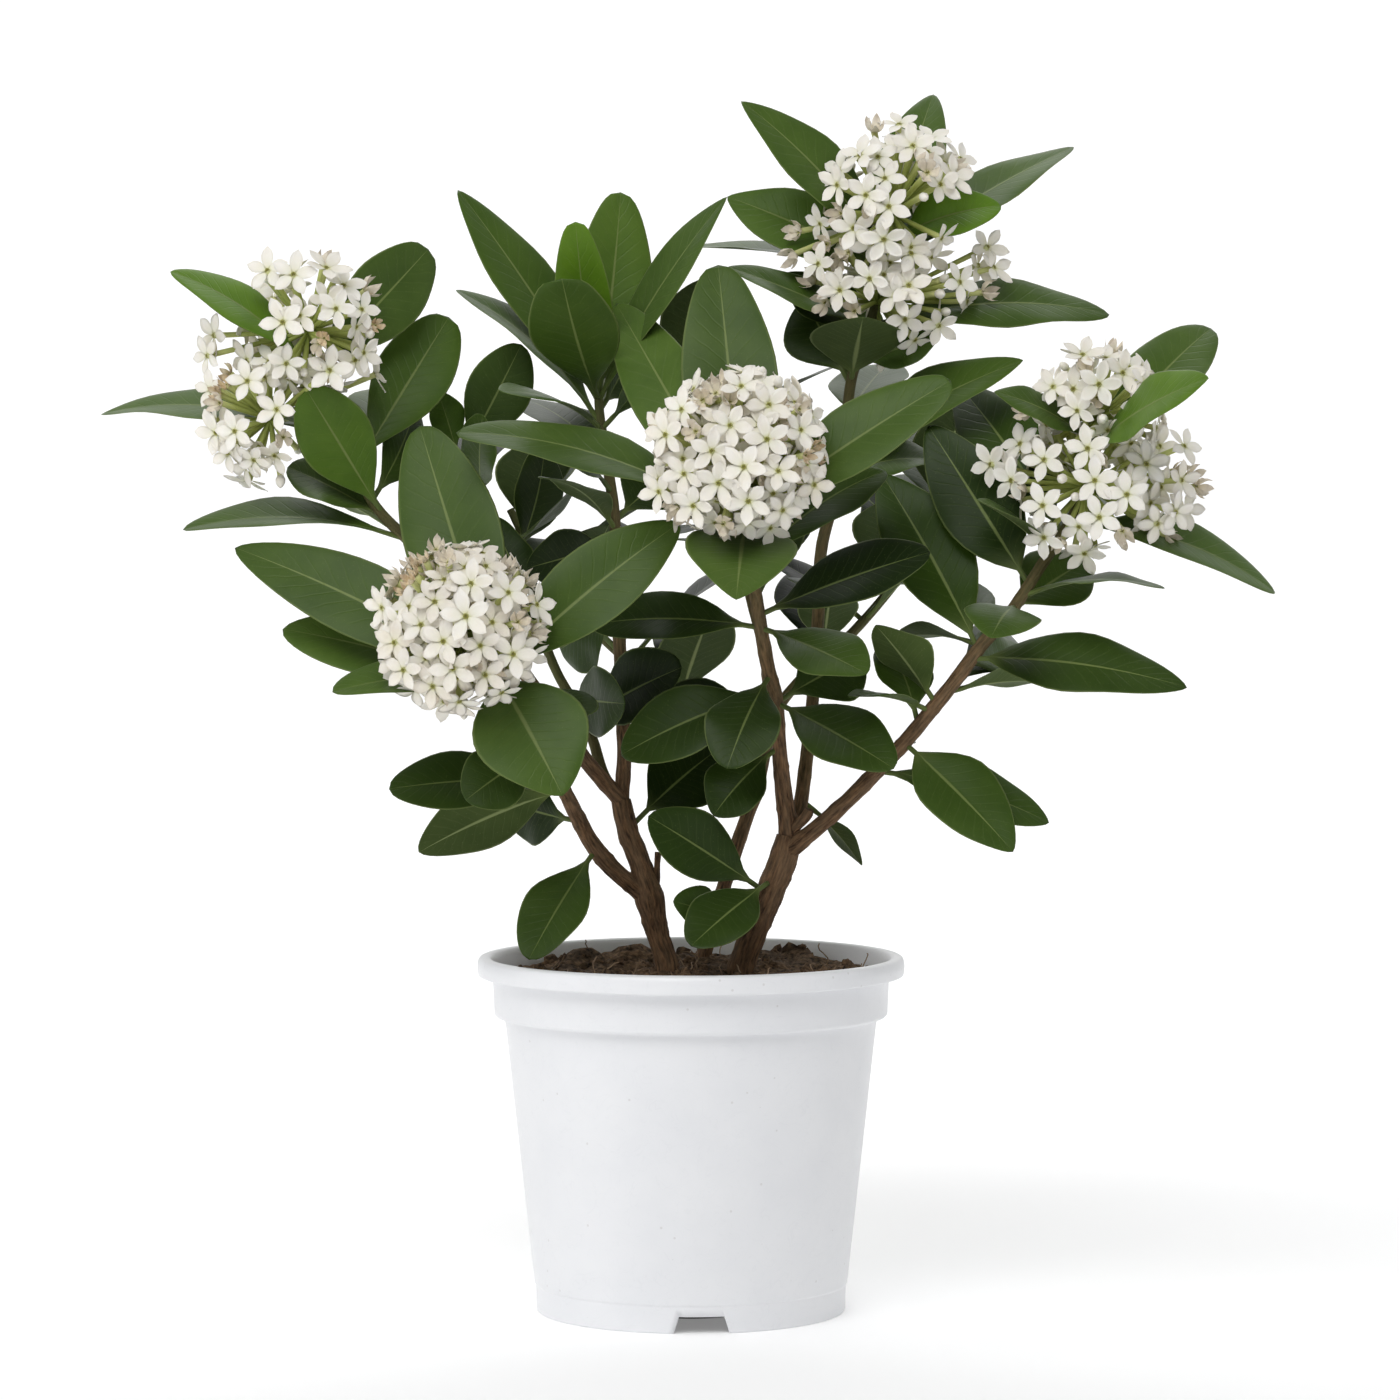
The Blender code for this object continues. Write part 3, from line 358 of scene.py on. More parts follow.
mottle = shader_group("Mottle", [("Place", "Vector"), ("Scale", "Float", 100.0), ("Contrast", "Float", 2.0),
                                 ("Dark", "Color", (0, 0, 0, 1)), ("Light", "Color", (1, 1, 1, 1))],
                      [("Color", "Color"), ("Mask", "Float")])
given = mottle.given
cloud = mottle.put("ShaderNodeTexNoise", {"Vector": given["Place"], "Scale": given["Scale"], "Detail": 4.0,
                                          "Roughness": 0.6})
mask = mottle.sum("ADD", (cloud - 0.5) * given["Contrast"], 0.5, clamp=True)
mix = mottle.put("ShaderNodeMix", {0: mask, 6: given["Dark"], 7: given["Light"]}, data_type="RGBA")[2]
MOTTLE = mottle.close(Color=mix, Mask=mask)

specks = shader_group("Specks", [("Place", "Vector"), ("Scale", "Float", 300.0), ("Size", "Float", 0.2)],
                      [("Mask", "Float")])
cells = specks.put("ShaderNodeTexVoronoi", {"Vector": specks.given["Place"], "Scale": specks.given["Scale"]})
chosen = specks.put("ShaderNodeSeparateColor", {"Color": cells["Color"]})[0]
some = specks.sum("GREATER_THAN", chosen, 1 - SPECK_SHARE)
SPECKS = specks.close(Mask=(cells["Distance"] < specks.given["Size"]) * some)
for group in (MOTTLE, SPECKS):
    print(f"{group.name}: {len(group.nodes)} nodes")


# %% A finish
class Finish(Sheet):
    """A new finish: its shader, and the place on the plant that patterns are read from."""

    def __init__(self, name, roughness, specular=0.5):
        self.material = bpy.data.materials.new(name)
        self.material.use_nodes = True
        super().__init__(self.material.node_tree)
        self.shader = self.tree.nodes["Principled BSDF"]
        set_inputs(self.shader, {"Roughness": roughness, "Specular IOR Level": specular})
        self.place = self.put("ShaderNodeTexCoord")["Object"]

    def mottle(self, scale, contrast, dark, light, place=None):
        """A cloudy mix of two colours."""
        return self.put("ShaderNodeGroup", {
            "Place": place or self.place, "Scale": scale, "Contrast": contrast, "Dark": (*dark, 1),
            "Light": (*light, 1)}, node_tree=MOTTLE)

    def specks(self, scale, size):
        """Small separate dots."""
        return self.put("ShaderNodeGroup", {"Place": self.place, "Scale": scale, "Size": size}, node_tree=SPECKS)

    def blend(self, share, first, second, mode="MIX"):
        """Mixes two colours, each plain or a wire."""
        first, second = ((*colour, 1) if isinstance(colour, tuple) else colour for colour in (first, second))
        return self.put("ShaderNodeMix", {0: share, 6: first, 7: second}, data_type="RGBA", blend_type=mode)[2]

    def stored(self, name):
        """A value that the mesh stores at each point."""
        return self.put("ShaderNodeAttribute", attribute_name=name)["Fac"]

    def coloured(self, colour):
        """Gives the shader its colour."""
        self.join(colour, self.shader.inputs["Base Color"])

    def raised(self, height, distance, strength):
        """Feeds a height into the shader's normal as fine relief."""
        bump = self.put("ShaderNodeBump", {"Height": height, "Distance": distance, "Strength": strength})
        self.join(bump, self.shader.inputs["Normal"])


# %% [markdown]
# ## The pot
#
# A nursery pot is injection moulded in thin white plastic: a rolled lip, a collar a little wider than the
# body, a body that narrows to the foot, and a shallow channel under the floor with drain holes and three
# notches in the foot. It is a turned shape, so its side view is drawn once, its corners are rounded, and the
# line is swept round the axis in many fine steps. The notches and holes are then cut out.

# %% Pot sizes
POT_HEIGHT = 158
RIM_RADIUS = 95
COLLAR_RADIUS = 87.5
BODY_TOP_RADIUS = 82
FOOT_RADIUS = 68.7
LIP_BOTTOM = 149.5
COLLAR_BOTTOM = 132
BODY_TOP = 128
WALL = 1.8
CHANNEL_HEIGHT = 7
CHANNEL_INNER_RADIUS = 30
# The pot's side view from the middle of its floor, inside first: radius, height, rounding of the corner
POT_LINE = [
    (0, WALL, 0), (CHANNEL_INNER_RADIUS - 2, WALL, 1), (CHANNEL_INNER_RADIUS + 1.5, CHANNEL_HEIGHT + WALL, 1),
    (FOOT_RADIUS - WALL + 0.3, CHANNEL_HEIGHT + WALL, 3), (BODY_TOP_RADIUS - WALL, BODY_TOP + 2.5, 2),
    (COLLAR_RADIUS - WALL, COLLAR_BOTTOM + 3, 2), (COLLAR_RADIUS - WALL + 0.4, LIP_BOTTOM, 2),
    (RIM_RADIUS - 6.8, POT_HEIGHT - 1.6, 2), (RIM_RADIUS - 5.2, POT_HEIGHT, 1.6),
    (RIM_RADIUS - 0.8, POT_HEIGHT - 0.2, 2.4), (RIM_RADIUS, POT_HEIGHT - 4, 1.5),
    (RIM_RADIUS - 0.5, LIP_BOTTOM, 0.9), (COLLAR_RADIUS + 0.6, LIP_BOTTOM + 0.3, 0.5),
    (COLLAR_RADIUS - 0.1, COLLAR_BOTTOM + 0.6, 0.5), (COLLAR_RADIUS - 0.9, COLLAR_BOTTOM - 0.4, 0.3),
    (BODY_TOP_RADIUS + 1.0, COLLAR_BOTTOM - 0.6, 0.3), (BODY_TOP_RADIUS + 0.3, BODY_TOP - 0.6, 2.2),
    (FOOT_RADIUS + 0.95, 12.6, 0.4), (FOOT_RADIUS + 0.35, 11.9, 0.4), (FOOT_RADIUS, 0, 1.2),
    (FOOT_RADIUS - 4.5, 0, 0.8), (FOOT_RADIUS - 6, CHANNEL_HEIGHT, 1), (CHANNEL_INNER_RADIUS, CHANNEL_HEIGHT, 1),
    (CHANNEL_INNER_RADIUS - 1.5, 0, 0.8), (0, 0, 0)]
print("corners in the pot's side view:", len(POT_LINE))

# %% Turn a side view
TURN_STEPS = 128
CORNER_STEPS = 4
LONGEST_ROUNDING = 0.45


def rounded(line):
    """The same line with each corner replaced by a short curve of about the given radius."""
    points = []
    for k, (radius, height, rounding) in enumerate(line):
        if rounding == 0:
            points.append((radius, height))
            continue
        corner = Vector((radius, height))
        runs = [Vector(line[other][:2]) - corner for other in (k - 1, k + 1)]
        start, end = (corner + run.normalized() * min(rounding, run.length * LONGEST_ROUNDING) for run in runs)
        for step in range(CORNER_STEPS + 1):
            t = step / CORNER_STEPS
            points.append(tuple(start * (1 - t) ** 2 + corner * 2 * t * (1 - t) + end * t ** 2))
    return points


def circled(turn, radius, height):
    """A point on a level circle."""
    return math.cos(turn) * radius, math.sin(turn) * radius, height


def strip(first, rings, size, k):
    """The four-sided faces between rings of corners, at one place round them."""
    after = (k + 1) % size
    return [(low + k, low + size + k, low + size + after, low + after)
            for low in range(first, first + (rings - 1) * size, size)]


def turned(name, line):
    """A side view swept round the pot's axis; its two ends lie on the axis and close the shape."""
    verts = [(0, 0, line[0][1] * MM), (0, 0, line[-1][1] * MM)]
    verts += [circled(math.tau * k / TURN_STEPS, radius * MM, height * MM) for radius, height in line[1:-1]
              for k in range(TURN_STEPS)]
    rings, faces = len(line) - 2, []
    last = 2 + (rings - 1) * TURN_STEPS
    for k in range(TURN_STEPS):
        after = (k + 1) % TURN_STEPS
        faces += [(0, 2 + k, 2 + after), (1, last + after, last + k)] + strip(2, rings, TURN_STEPS, k)
    return plain_object(name, mesh_of(name, verts, faces))


# %% Cut the notches and drain holes
NOTCH_COUNT = 3
NOTCH_SIZE = (29, 16, 15)
NOTCH_TAPER = 0.68
NOTCH_TURN = 3.9
DRAIN_COUNT = 6
DRAIN_RADIUS = 4.5
DRAIN_LENGTH = 11
DRAIN_CIRCLE = 48
DRAIN_MIDDLE = 8.5
DRAIN_SIDES = 32


def cutter(make, matrix, taper=1, **shape):
    """A simple solid to cut with; its upper corners can stand closer together."""
    work = bmesh.new()
    make(work, **shape)
    for vertex in work.verts:
        if vertex.co.z > 0:
            vertex.co.x *= taper
    work.transform(matrix)
    mesh = bpy.data.meshes.new("cutter")
    work.to_mesh(mesh)
    work.free()
    return plain_object("cutter", mesh)


pot = turned("pot_moulded", rounded(POT_LINE))
tools = []
for k in range(NOTCH_COUNT):
    turn = Matrix.Rotation(math.radians(NOTCH_TURN + 360 * k / NOTCH_COUNT), 4, "Z")
    place = turn @ Matrix.Translation((0, -FOOT_RADIUS * MM, 0))
    tools.append(cutter(bmesh.ops.create_cube, place @ Matrix.Diagonal((*(Vector(NOTCH_SIZE) * MM), 1)),
                        NOTCH_TAPER, size=1))
for k in range(DRAIN_COUNT):
    place = Vector(circled(math.tau * (k + 0.5) / DRAIN_COUNT, DRAIN_CIRCLE, DRAIN_MIDDLE)) * MM
    tools.append(cutter(bmesh.ops.create_cone, Matrix.Translation(place), cap_ends=True, segments=DRAIN_SIDES,
                        radius1=DRAIN_RADIUS * MM, radius2=DRAIN_RADIUS * MM, depth=DRAIN_LENGTH * MM))
for tool in tools:
    hole = pot.modifiers.new("Hole", "BOOLEAN")
    hole.operation, hole.solver, hole.object = "DIFFERENCE", "EXACT", tool
carved = settled(pot)
pot.modifiers.clear()
pot.data = carved
for tool in tools:
    bpy.data.objects.remove(tool)

# %% [markdown]
# ### Its plastic
#
# White polypropylene is a little blue and not quite even: the wall is faintly cloudy, handling leaves fine
# scuffs that run any way, and a few dark specks of soil stick to it. The scuffs change the roughness more
# than the colour, so they show only where light grazes the wall. Under the floor, inside the foot ring, the
# plastic is painted nearly black as painted shade, so the channel behind the notches looks dark.

# %% Pot finish
UNDER_SHADE_TOP = 9.5
UNDER_SHADE_RADIUS = 65.0
plastic = Finish("moulded_plastic", 0.36)
cloud = plastic.mottle(26.0, 1.4, (0.80, 0.81, 0.835), (0.87, 0.875, 0.89))
wave = plastic.put("ShaderNodeTexNoise", {"Vector": plastic.place, "Scale": 60.0, "Detail": 3.0,
                                          "Distortion": 2.2})
scuff = plastic.remap(plastic.sum("ABSOLUTE", wave - 0.5), 0.0, 0.012, 1.0, 0.0)
colour = plastic.blend(scuff * 0.10, cloud["Color"], (0.60, 0.615, 0.65))
colour = plastic.blend(plastic.specks(160.0, 0.09) * 0.25, colour, (0.40, 0.37, 0.34))
height = plastic.put("ShaderNodeSeparateXYZ", {"Vector": plastic.place})[2]
flat = plastic.put("ShaderNodeVectorMath", {0: plastic.place, 1: (1, 1, 0)}, operation="MULTIPLY")
reach = plastic.put("ShaderNodeVectorMath", {0: flat}, operation="LENGTH")["Value"]
# Painted shade: low down and inside the foot ring the colour turns nearly black, where the channel under the floor
# lies in shade.
painted_under_shade = (height < UNDER_SHADE_TOP * MM) * (reach < UNDER_SHADE_RADIUS * MM)
plastic.coloured(plastic.blend(painted_under_shade * 0.93, colour, (0.03, 0.028, 0.025)))
plastic.join(scuff * 0.14 + 0.34, plastic.shader.inputs["Roughness"])
plastic.raised(cloud["Mask"], 0.0004, 0.15)
pot.data.materials.clear()
pot.data.materials.append(plastic.material)
dress(pot, "pot_plastic", "pot")

# %% [markdown]
# ## The soil
#
# Potting soil is a loose mix: fine dark crumbs, lumps that stand out near the rim, bits of bark and thin
# roots. The plug is turned like the pot, its top is raised by the same rule as the solid's, and finer noise
# breaks it up.

# %% Fill the pot
SOIL_LEVEL = 149.5
SOIL_GAP = 0.4
SOIL_RINGS = 52
SOIL_REACH = 84
RIM_START = 80
# Width, height and level of the two sizes of crumbs
CRUMBS = ((6, 1.9, 0), (2.4, 1.1, 9))
# Lumps on the soil: x, y, size and height
LUMPS = ((47, 62, 11, 4.5), (-50, 55, 12, 3.5), (-25, 70, 9, 2.5), (74, 30, 9, 2.5), (20, -45, 13, 3),
         (-40, -30, 11, 3))


def soil_rise(x, y):
    """How far the soil stands above its level at a place: waves, a slope up to the back, and lumps."""
    waves = 1.6 * math.sin(x / 9.5 + 1.3) * math.cos(y / 8.2) + 1.1 * math.sin(x / 5.1 - y / 6.3)
    back = 2.6 * max(0, min(1, (y - 20) / 50))
    lumps = [height * max(0, 1 - (math.hypot(x - lump_x, y - lump_y) / size) ** 2)
             for lump_x, lump_y, size, height in LUMPS]
    return waves + back + max(lumps)


soil_line = [(radius * SOIL_REACH / SOIL_RINGS, SOIL_LEVEL) for radius in range(SOIL_RINGS + 1)]
soil_line += [(SOIL_REACH + 0.8, SOIL_LEVEL - 3), (COLLAR_RADIUS - WALL - 0.6, COLLAR_BOTTOM + 4),
              (BODY_TOP_RADIUS - WALL - 0.6, BODY_TOP + 2),
              (FOOT_RADIUS - WALL - 0.4, CHANNEL_HEIGHT + WALL + SOIL_GAP),
              (CHANNEL_INNER_RADIUS + 1.2, CHANNEL_HEIGHT + WALL + SOIL_GAP),
              (CHANNEL_INNER_RADIUS - 2.4, WALL + SOIL_GAP), (0, WALL + SOIL_GAP)]
soil = turned("soil_crumbly", soil_line)
soil.data.flip_normals()
for vertex in soil.data.vertices:
    if vertex.co.z > (SOIL_LEVEL - 1) * MM:
        x, y = vertex.co.x / MM, vertex.co.y / MM
        fade = 1 if vertex.co.xy.length < RIM_START * MM else 0.5
        crumbs = sum(noise.noise(Vector((x, y, level)) / width) * height for width, height, level in CRUMBS)
        vertex.co.z += (soil_rise(x, y) * fade + crumbs * fade - 0.3) * MM

# %% [markdown]
# ### Clods
#
# Crumbs lie everywhere on the soil, so they are a job for Geometry Nodes: points are strewn on the top with a
# fixed seed, a lump with a noisy surface is copied to each, and the copies are made real. The tree is given
# its density, its sizes and its seed by name.

# %% Strew the clods
clod = Growth("Strewn clods", [("Per square metre", "Float", 9000.0), ("Smallest", "Float", 0.0008),
                               ("Largest", "Float", 0.0034), ("Reach", "Float", 0.081), ("Seed", "Int", 5)])
given = clod.given
spot = clod.put("ShaderNodeSeparateXYZ", {"Vector": clod.put("GeometryNodeInputPosition")})
reach = clod.sum("SQRT", clod.sum("POWER", spot[0], 2.0) + clod.sum("POWER", spot[1], 2.0))
on_top = clod.put("FunctionNodeBooleanMath", {0: clod.compare("LESS_THAN", reach, given["Reach"]),
                                              1: clod.compare("GREATER_THAN", spot[2], (SOIL_LEVEL - 5) * MM)})
lump = clod.put("GeometryNodeMeshIcoSphere", {"Radius": 1.0, "Subdivisions": 2})
dent = clod.put("ShaderNodeTexNoise", {"Scale": 1.3, "Detail": 2.0})
dented = clod.scaled(clod.put("GeometryNodeInputPosition"), (dent - 0.42) * 2.4)
lump = clod.put("GeometryNodeSetPosition", {"Geometry": lump, "Offset": dented})
share = clod.sum("POWER", clod.chance(0.0, 1.0, given["Seed"]), 3.0)
size = clod.put("ShaderNodeMapRange", {"Value": share, "To Min": given["Smallest"], "To Max": given["Largest"]})
spin = clod.chance((0, 0, 0), (6.28, 6.28, 6.28), 11, data_type="FLOAT_VECTOR")
clod.finish(clod.real(clod.copies(clod.strew(on_top), lump, spin, size)))

# %% [markdown]
# ### Root hairs
#
# A few fine roots stick out of the soil. Another tree strews short lines on the top, leans each a different
# way, bends it by noise and gives it a thin round section.

# %% Strew the root hairs
hair = Growth("Root hairs", [("Per square metre", "Float", 2600.0), ("Length", "Float", 0.013),
                             ("Bend", "Float", 0.010), ("Thickness", "Float", 0.00028), ("Seed", "Int", 8)])
given = hair.given
height = hair.put("ShaderNodeSeparateXYZ", {"Vector": hair.put("GeometryNodeInputPosition")})[2]
points = hair.strew(hair.compare("GREATER_THAN", height, (SOIL_LEVEL - 1) * MM))
line = hair.put("GeometryNodeCurvePrimitiveLine", {"Start": (0, 0, -0.15), "End": (0, 0, 0.85)})
line = hair.put("GeometryNodeResampleCurve", {"Curve": line, "Count": 9})
lean = hair.chance((-1.25, -1.25, 0), (1.25, 1.25, 6.28), given["Seed"], data_type="FLOAT_VECTOR")
lines = hair.real(hair.copies(points, line, lean, hair.chance(0.4, 1.0, 4) * given["Length"]))
drift = hair.put("ShaderNodeTexNoise", {"Scale": 150.0, "Detail": 1.0})["Color"]
drift = hair.put("ShaderNodeVectorMath", {0: drift, 1: (0.5, 0.5, 0.5)}, operation="SUBTRACT")
bent = hair.put("GeometryNodeSetPosition", {"Geometry": lines, "Offset": hair.scaled(drift, given["Bend"])})
section = hair.put("GeometryNodeCurvePrimitiveCircle", {"Resolution": 5, "Radius": given["Thickness"]})
hair.finish(hair.put("GeometryNodeCurveToMesh", {"Curve": bent, "Profile Curve": section, "Fill Caps": True}))

# %% [markdown]
# ### Soil finish
#
# Damp soil is nearly black in its hollows and brown on its crumbs, with a few pale bits of bark and sand, and
# it hardly shines at all.

# %% Soil finish
earth = Finish("potting_soil", 0.95, 0.25)
crumb = earth.mottle(420.0, 2.6, (0.016, 0.010, 0.006), (0.26, 0.185, 0.115))
patch = earth.mottle(70.0, 3.0, (0.55, 0.52, 0.5), (1.25, 1.1, 1.0))
colour = earth.blend(1.0, crumb["Color"], patch["Color"], "MULTIPLY")
earth.coloured(earth.blend(earth.specks(330.0, 0.3) * 0.35, colour, (0.30, 0.19, 0.11)))
earth.raised(crumb["Mask"], 0.0012, 0.8)
fibre = Finish("root_fibre", 0.7, 0.3)
fibre.coloured(fibre.mottle(90.0, 3.0, (0.12, 0.07, 0.04), (0.42, 0.30, 0.19)))
strewn = [grow("soil_clods", soil.data.copy(), clod, {"Finish": earth.material}),
          grow("soil_root_hairs", soil.data.copy(), hair, {"Finish": fibre.material})]
soil.data.materials.append(earth.material)
for piece in (soil, *strewn):
    dress(piece, "potting_soil", "soil")

# %% [markdown]
# ## The plant's own drawing
#
# A shrub has no plan, so its stems and leaves were taken from a front elevation: for each point, how far it
# lies across from the pot's axis, its height and its depth, in millimetres. An elevation is drawn from one
# eye, so a point at another depth moves along the line of sight. The solids were made from these same values,
# which is why a fine leaf lands exactly on its solid one.

# %% Trunks and stems
# From the foot up: across, height, depth, radius
STEMS = {
    "trunk_left": [(-8, 122, 18, 5.4), (-10.6, 153, 15, 5.2), (-15, 168, 14, 4.8), (-18.5, 184, 13, 5.4),
                   (-23, 200, 13, 4.9), (-28, 214, 14, 4.7), (-31, 227, 15, 4.5)],
    "trunk_right": [(18, 122, 8, 6.2), (22.2, 152, 6, 6), (30.6, 174.5, 5, 5.8), (40, 198, 5, 6),
                    (43.4, 211, 5, 5.6)],
    "trunk_back": [(4, 122, 52, 3.6), (6, 158, 52, 3.4), (22.2, 212, 60, 3.2), (29, 232, 66, 3.1),
                   (35, 263, 80, 3), (34, 285, 92, 3)],
    "stem_b": [(-18.5, 183, 13, 4.2), (-35, 197, 10, 3.9), (-44, 208, 4, 3.7), (-50, 219, -4, 3.5),
               (-56, 231, -20, 3.2), (-65, 249, -42, 2.9), (-78, 273, -64, 2.6), (-90, 288, -78, 2.4),
               (-97, 296, -86, 2.3)],
    "stem_a": [(-31, 227, 15, 3.6), (-41, 238, 8, 3.5), (-50.5, 250, 2, 3.3), (-67, 274, -4, 3),
               (-89, 303, -7, 2.8), (-111, 329, -9, 2.6), (-136, 353, -14, 2.4), (-146, 368, -18, 2.3),
               (-160, 390, -23, 2.2), (-168, 410, -26, 2.1), (-170, 430, -28, 2)],
    "stem_mid_left": [(-31, 227, 15, 2.6), (-38.5, 238, 24, 2.5), (-44, 255, 30, 2.4), (-51, 269, 33, 2.3),
                      (-59, 283, 34, 2.2), (-65, 298, 34, 2.2), (-69, 316, 33, 2.1), (-78, 334, 31, 2),
                      (-93, 360, 29, 1.9), (-104, 380, 26, 1.7)],
    "stem_top": [(-31, 227, 15, 3.4), (-29.7, 247, 18, 3.3), (-30.6, 272, 20, 3.1), (-31.5, 294, 22, 2.9),
                 (-33, 325, 22, 2.7), (-33.7, 351, 20, 2.6), (-36.8, 375, 20, 2.4), (-40, 395, 20, 2.2),
                 (-41, 408, 20, 1.9)],
    "stem_c": [(43.4, 211, 5, 4.4), (42, 224, 2, 4.1), (39.4, 247, -6, 3.4), (37.7, 272, -15, 3.1),
               (33.7, 288, -25, 3.1), (29, 316, -40, 2.9), (25.3, 338, -58, 2.6), (22.6, 356, -72, 2.4),
               (21.3, 367, -79, 2.2)],
    "stem_d": [(43.4, 211, 5, 3.4), (48.3, 224, 13, 3.2), (51.4, 247, 24, 3), (54, 272, 32, 2.9),
               (56.3, 307, 35, 2.8), (58, 340, 32, 2.7), (67.3, 375, 25, 2.5), (70.5, 411, 18, 2.4),
               (77.5, 433, 12, 2.3), (84, 455, 6, 2.2), (88.3, 482, 1, 2.1)],
    "stem_e": [(41.5, 204, 5, 4), (50, 210, 0, 3.8), (66, 223.7, -5, 3.5), (80, 237.4, -9, 3.4),
               (96, 254.3, -14, 3.3), (117, 280, -21, 3.2), (128.5, 295.5, -25, 3), (142, 311, -28, 2.7),
               (155, 331, -30, 2.5), (165.7, 347, -31, 2.4), (174, 365, -31, 2.3), (179.6, 393.5, -30, 2.1)],
    "stem_back": [(34, 285, 92, 2.8), (31, 300, 98, 2.7), (22, 334, 106, 2.5), (12, 366, 110, 2.3),
                  (4, 392, 112, 2.1), (0, 412, 112, 1.8)],
    "stem_back_left": [(29, 232, 66, 2.6), (18, 248, 80, 2.5), (-8, 272, 104, 2.4), (-40, 300, 128, 2.2),
                       (-66, 330, 142, 2), (-80, 356, 148, 1.8)],
    "stem_back_right": [(34, 262, 79, 2.6), (48, 280, 90, 2.5), (74, 304, 112, 2.3), (98, 334, 126, 2.1),
                        (112, 362, 132, 1.8)],
}
PARENTS = {
    "stem_b": "trunk_left", "stem_a": "trunk_left", "stem_mid_left": "trunk_left", "stem_top": "trunk_left",
    "stem_c": "trunk_right", "stem_d": "trunk_right", "stem_e": "trunk_right",
    "stem_back": "trunk_back", "stem_back_left": "trunk_back", "stem_back_right": "trunk_back",
}
SNAGS = {
    "trunk_left": [(-19, 183, 10, 1.7), (-15.6, 190, 12, 1.5), (-15, 199, 12, 1.4), (-14.6, 204, 12, 1.6)],
    "trunk_right": [(45, 214, 3, 2.4), (51, 219.5, -3, 2.3), (52.5, 223, -4, 2)],
}
CURVE_STEP = 2.0


def seen(across, height, depth):
    """The point at this depth that is drawn at (across, height) on the front elevation."""
    far = 1 + depth / EYE_DISTANCE
    return Vector((across * far, depth, EYE_HEIGHT + (height - EYE_HEIGHT) * far)) * MM


def drawn(point):
    """Where a point is drawn on the front elevation: across and height."""
    far = 1 + point.y / MM / EYE_DISTANCE
    return point.x / MM / far, EYE_HEIGHT + (point.z / MM - EYE_HEIGHT) / far


def smooth_path(points, step=CURVE_STEP):
    """Points and radii read from a smooth curve through the given places, about a step apart."""
    places = [seen(*point[:3]) for point in points]
    radii = [point[3] * MM for point in points]
    path = []
    for i, (start, end) in enumerate(zip(places, places[1:])):
        before, after = places[max(i - 1, 0)], places[min(i + 2, len(places) - 1)]
        pieces = max(1, round((end - start).length / MM / step))
        for k in range(pieces):
            t = k / pieces
            point = 0.5 * (2 * start + (end - before) * t
                           + (2 * before - 5 * start + 4 * end - after) * t ** 2
                           + (3 * start - before - 3 * end + after) * t ** 3)
            path.append((point, radii[i] + (radii[i + 1] - radii[i]) * t))
    return path + [(places[-1], radii[-1])]


paths = {name: smooth_path(points) for name, points in STEMS.items()}
print("stems:", len(STEMS), "longest", round(max(map(len, paths.values())) * CURVE_STEP), "mm")

# %% [markdown]
# ## Wood
#
# Old wood is brown and furrowed along its length, and young shoots are smooth and green-brown. One tree makes
# both: it sweeps a circle along the stem's line, and pushes the surface out by a noise that is stretched along
# the stem, so it makes long ridges. Old leaf scars add rings, which knots shift about. The depth of it all
# follows the radius, so twigs stay smooth. Two values are stored for the finish: a place round and along the
# bark, and an age that goes from green shoot to brown wood.

# %% Bark tree
SCAR_WIDTH = 0.13
SCAR_HEIGHT = 0.75
TWIG_RADIUS = 0.0019
OLD_RADIUS = 0.0042
bark = Growth("Bark", [("Step", "Float", 0.0022), ("Sides", "Int", 22), ("Ridge depth", "Float", 0.19),
                       ("Ridge stretch", "Float", 0.16), ("Ring spacing", "Float", 0.021),
                       ("Least age", "Float", 0.0), ("Seed", "Int", 3)])
given = bark.given
line = bark.put("GeometryNodeResampleCurve", {"Curve": given["Geometry"]}, mode="LENGTH")
bark.join(given["Step"], line.socket.node.inputs["Length"])
line = bark.keep(line, "girth", bark.read("radius"))
line = bark.keep(line, "along", bark.put("GeometryNodeSplineParameter")["Length"])
circle = bark.put("GeometryNodeCurvePrimitiveCircle", {"Resolution": given["Sides"], "Radius": 1.0})
circle = bark.keep(circle, "around", bark.put("GeometryNodeInputPosition"), "FLOAT_VECTOR")
tube = bark.put("GeometryNodeCurveToMesh", {"Curve": line, "Profile Curve": circle, "Scale": bark.read("girth"),
                                            "Fill Caps": True})
turn = bark.put("ShaderNodeSeparateXYZ", {"Vector": bark.read("around", "FLOAT_VECTOR")})
length, girth = bark.read("along"), bark.read("girth")
place = bark.put("ShaderNodeCombineXYZ", {0: turn[0] * girth, 1: turn[1] * girth,
                                          2: length * given["Ridge stretch"] + given["Seed"]})
tube = bark.keep(tube, "bark_place", place, "FLOAT_VECTOR")
furrow = bark.put("ShaderNodeTexNoise", {"Vector": bark.read("bark_place", "FLOAT_VECTOR"), "Scale": 520.0,
                                         "Detail": 3.0, "Roughness": 0.55})
knots = bark.put("ShaderNodeTexNoise", {"Vector": bark.put("GeometryNodeInputPosition"), "Scale": 95.0,
                                        "Detail": 1.0})
scar = bark.sum("PINGPONG", length / given["Ring spacing"] + knots, 0.5)
rings = bark.remap(scar, 0.0, SCAR_WIDTH, 1.0, 0.0) * SCAR_HEIGHT
relief = (furrow - 0.5) * 1.5 + (knots - 0.5) * 1.2 + rings
old = bark.sum("MAXIMUM", bark.remap(girth, TWIG_RADIUS, OLD_RADIUS), given["Least age"])
push = bark.scaled(bark.put("GeometryNodeInputNormal"), relief * (old * (girth * given["Ridge depth"])))
tube = bark.put("GeometryNodeSetPosition", {"Geometry": tube, "Offset": push})
bark.finish(bark.real(bark.keep(tube, "age", old)))

# %% [markdown]
# ### Bark finish
#
# The colour follows the stored age: shoots are olive green, older wood is warm brown with grey flakes in its
# ridges. Reading the noise at the stored bark place keeps the streaks running along every stem, whichever way
# it leans.

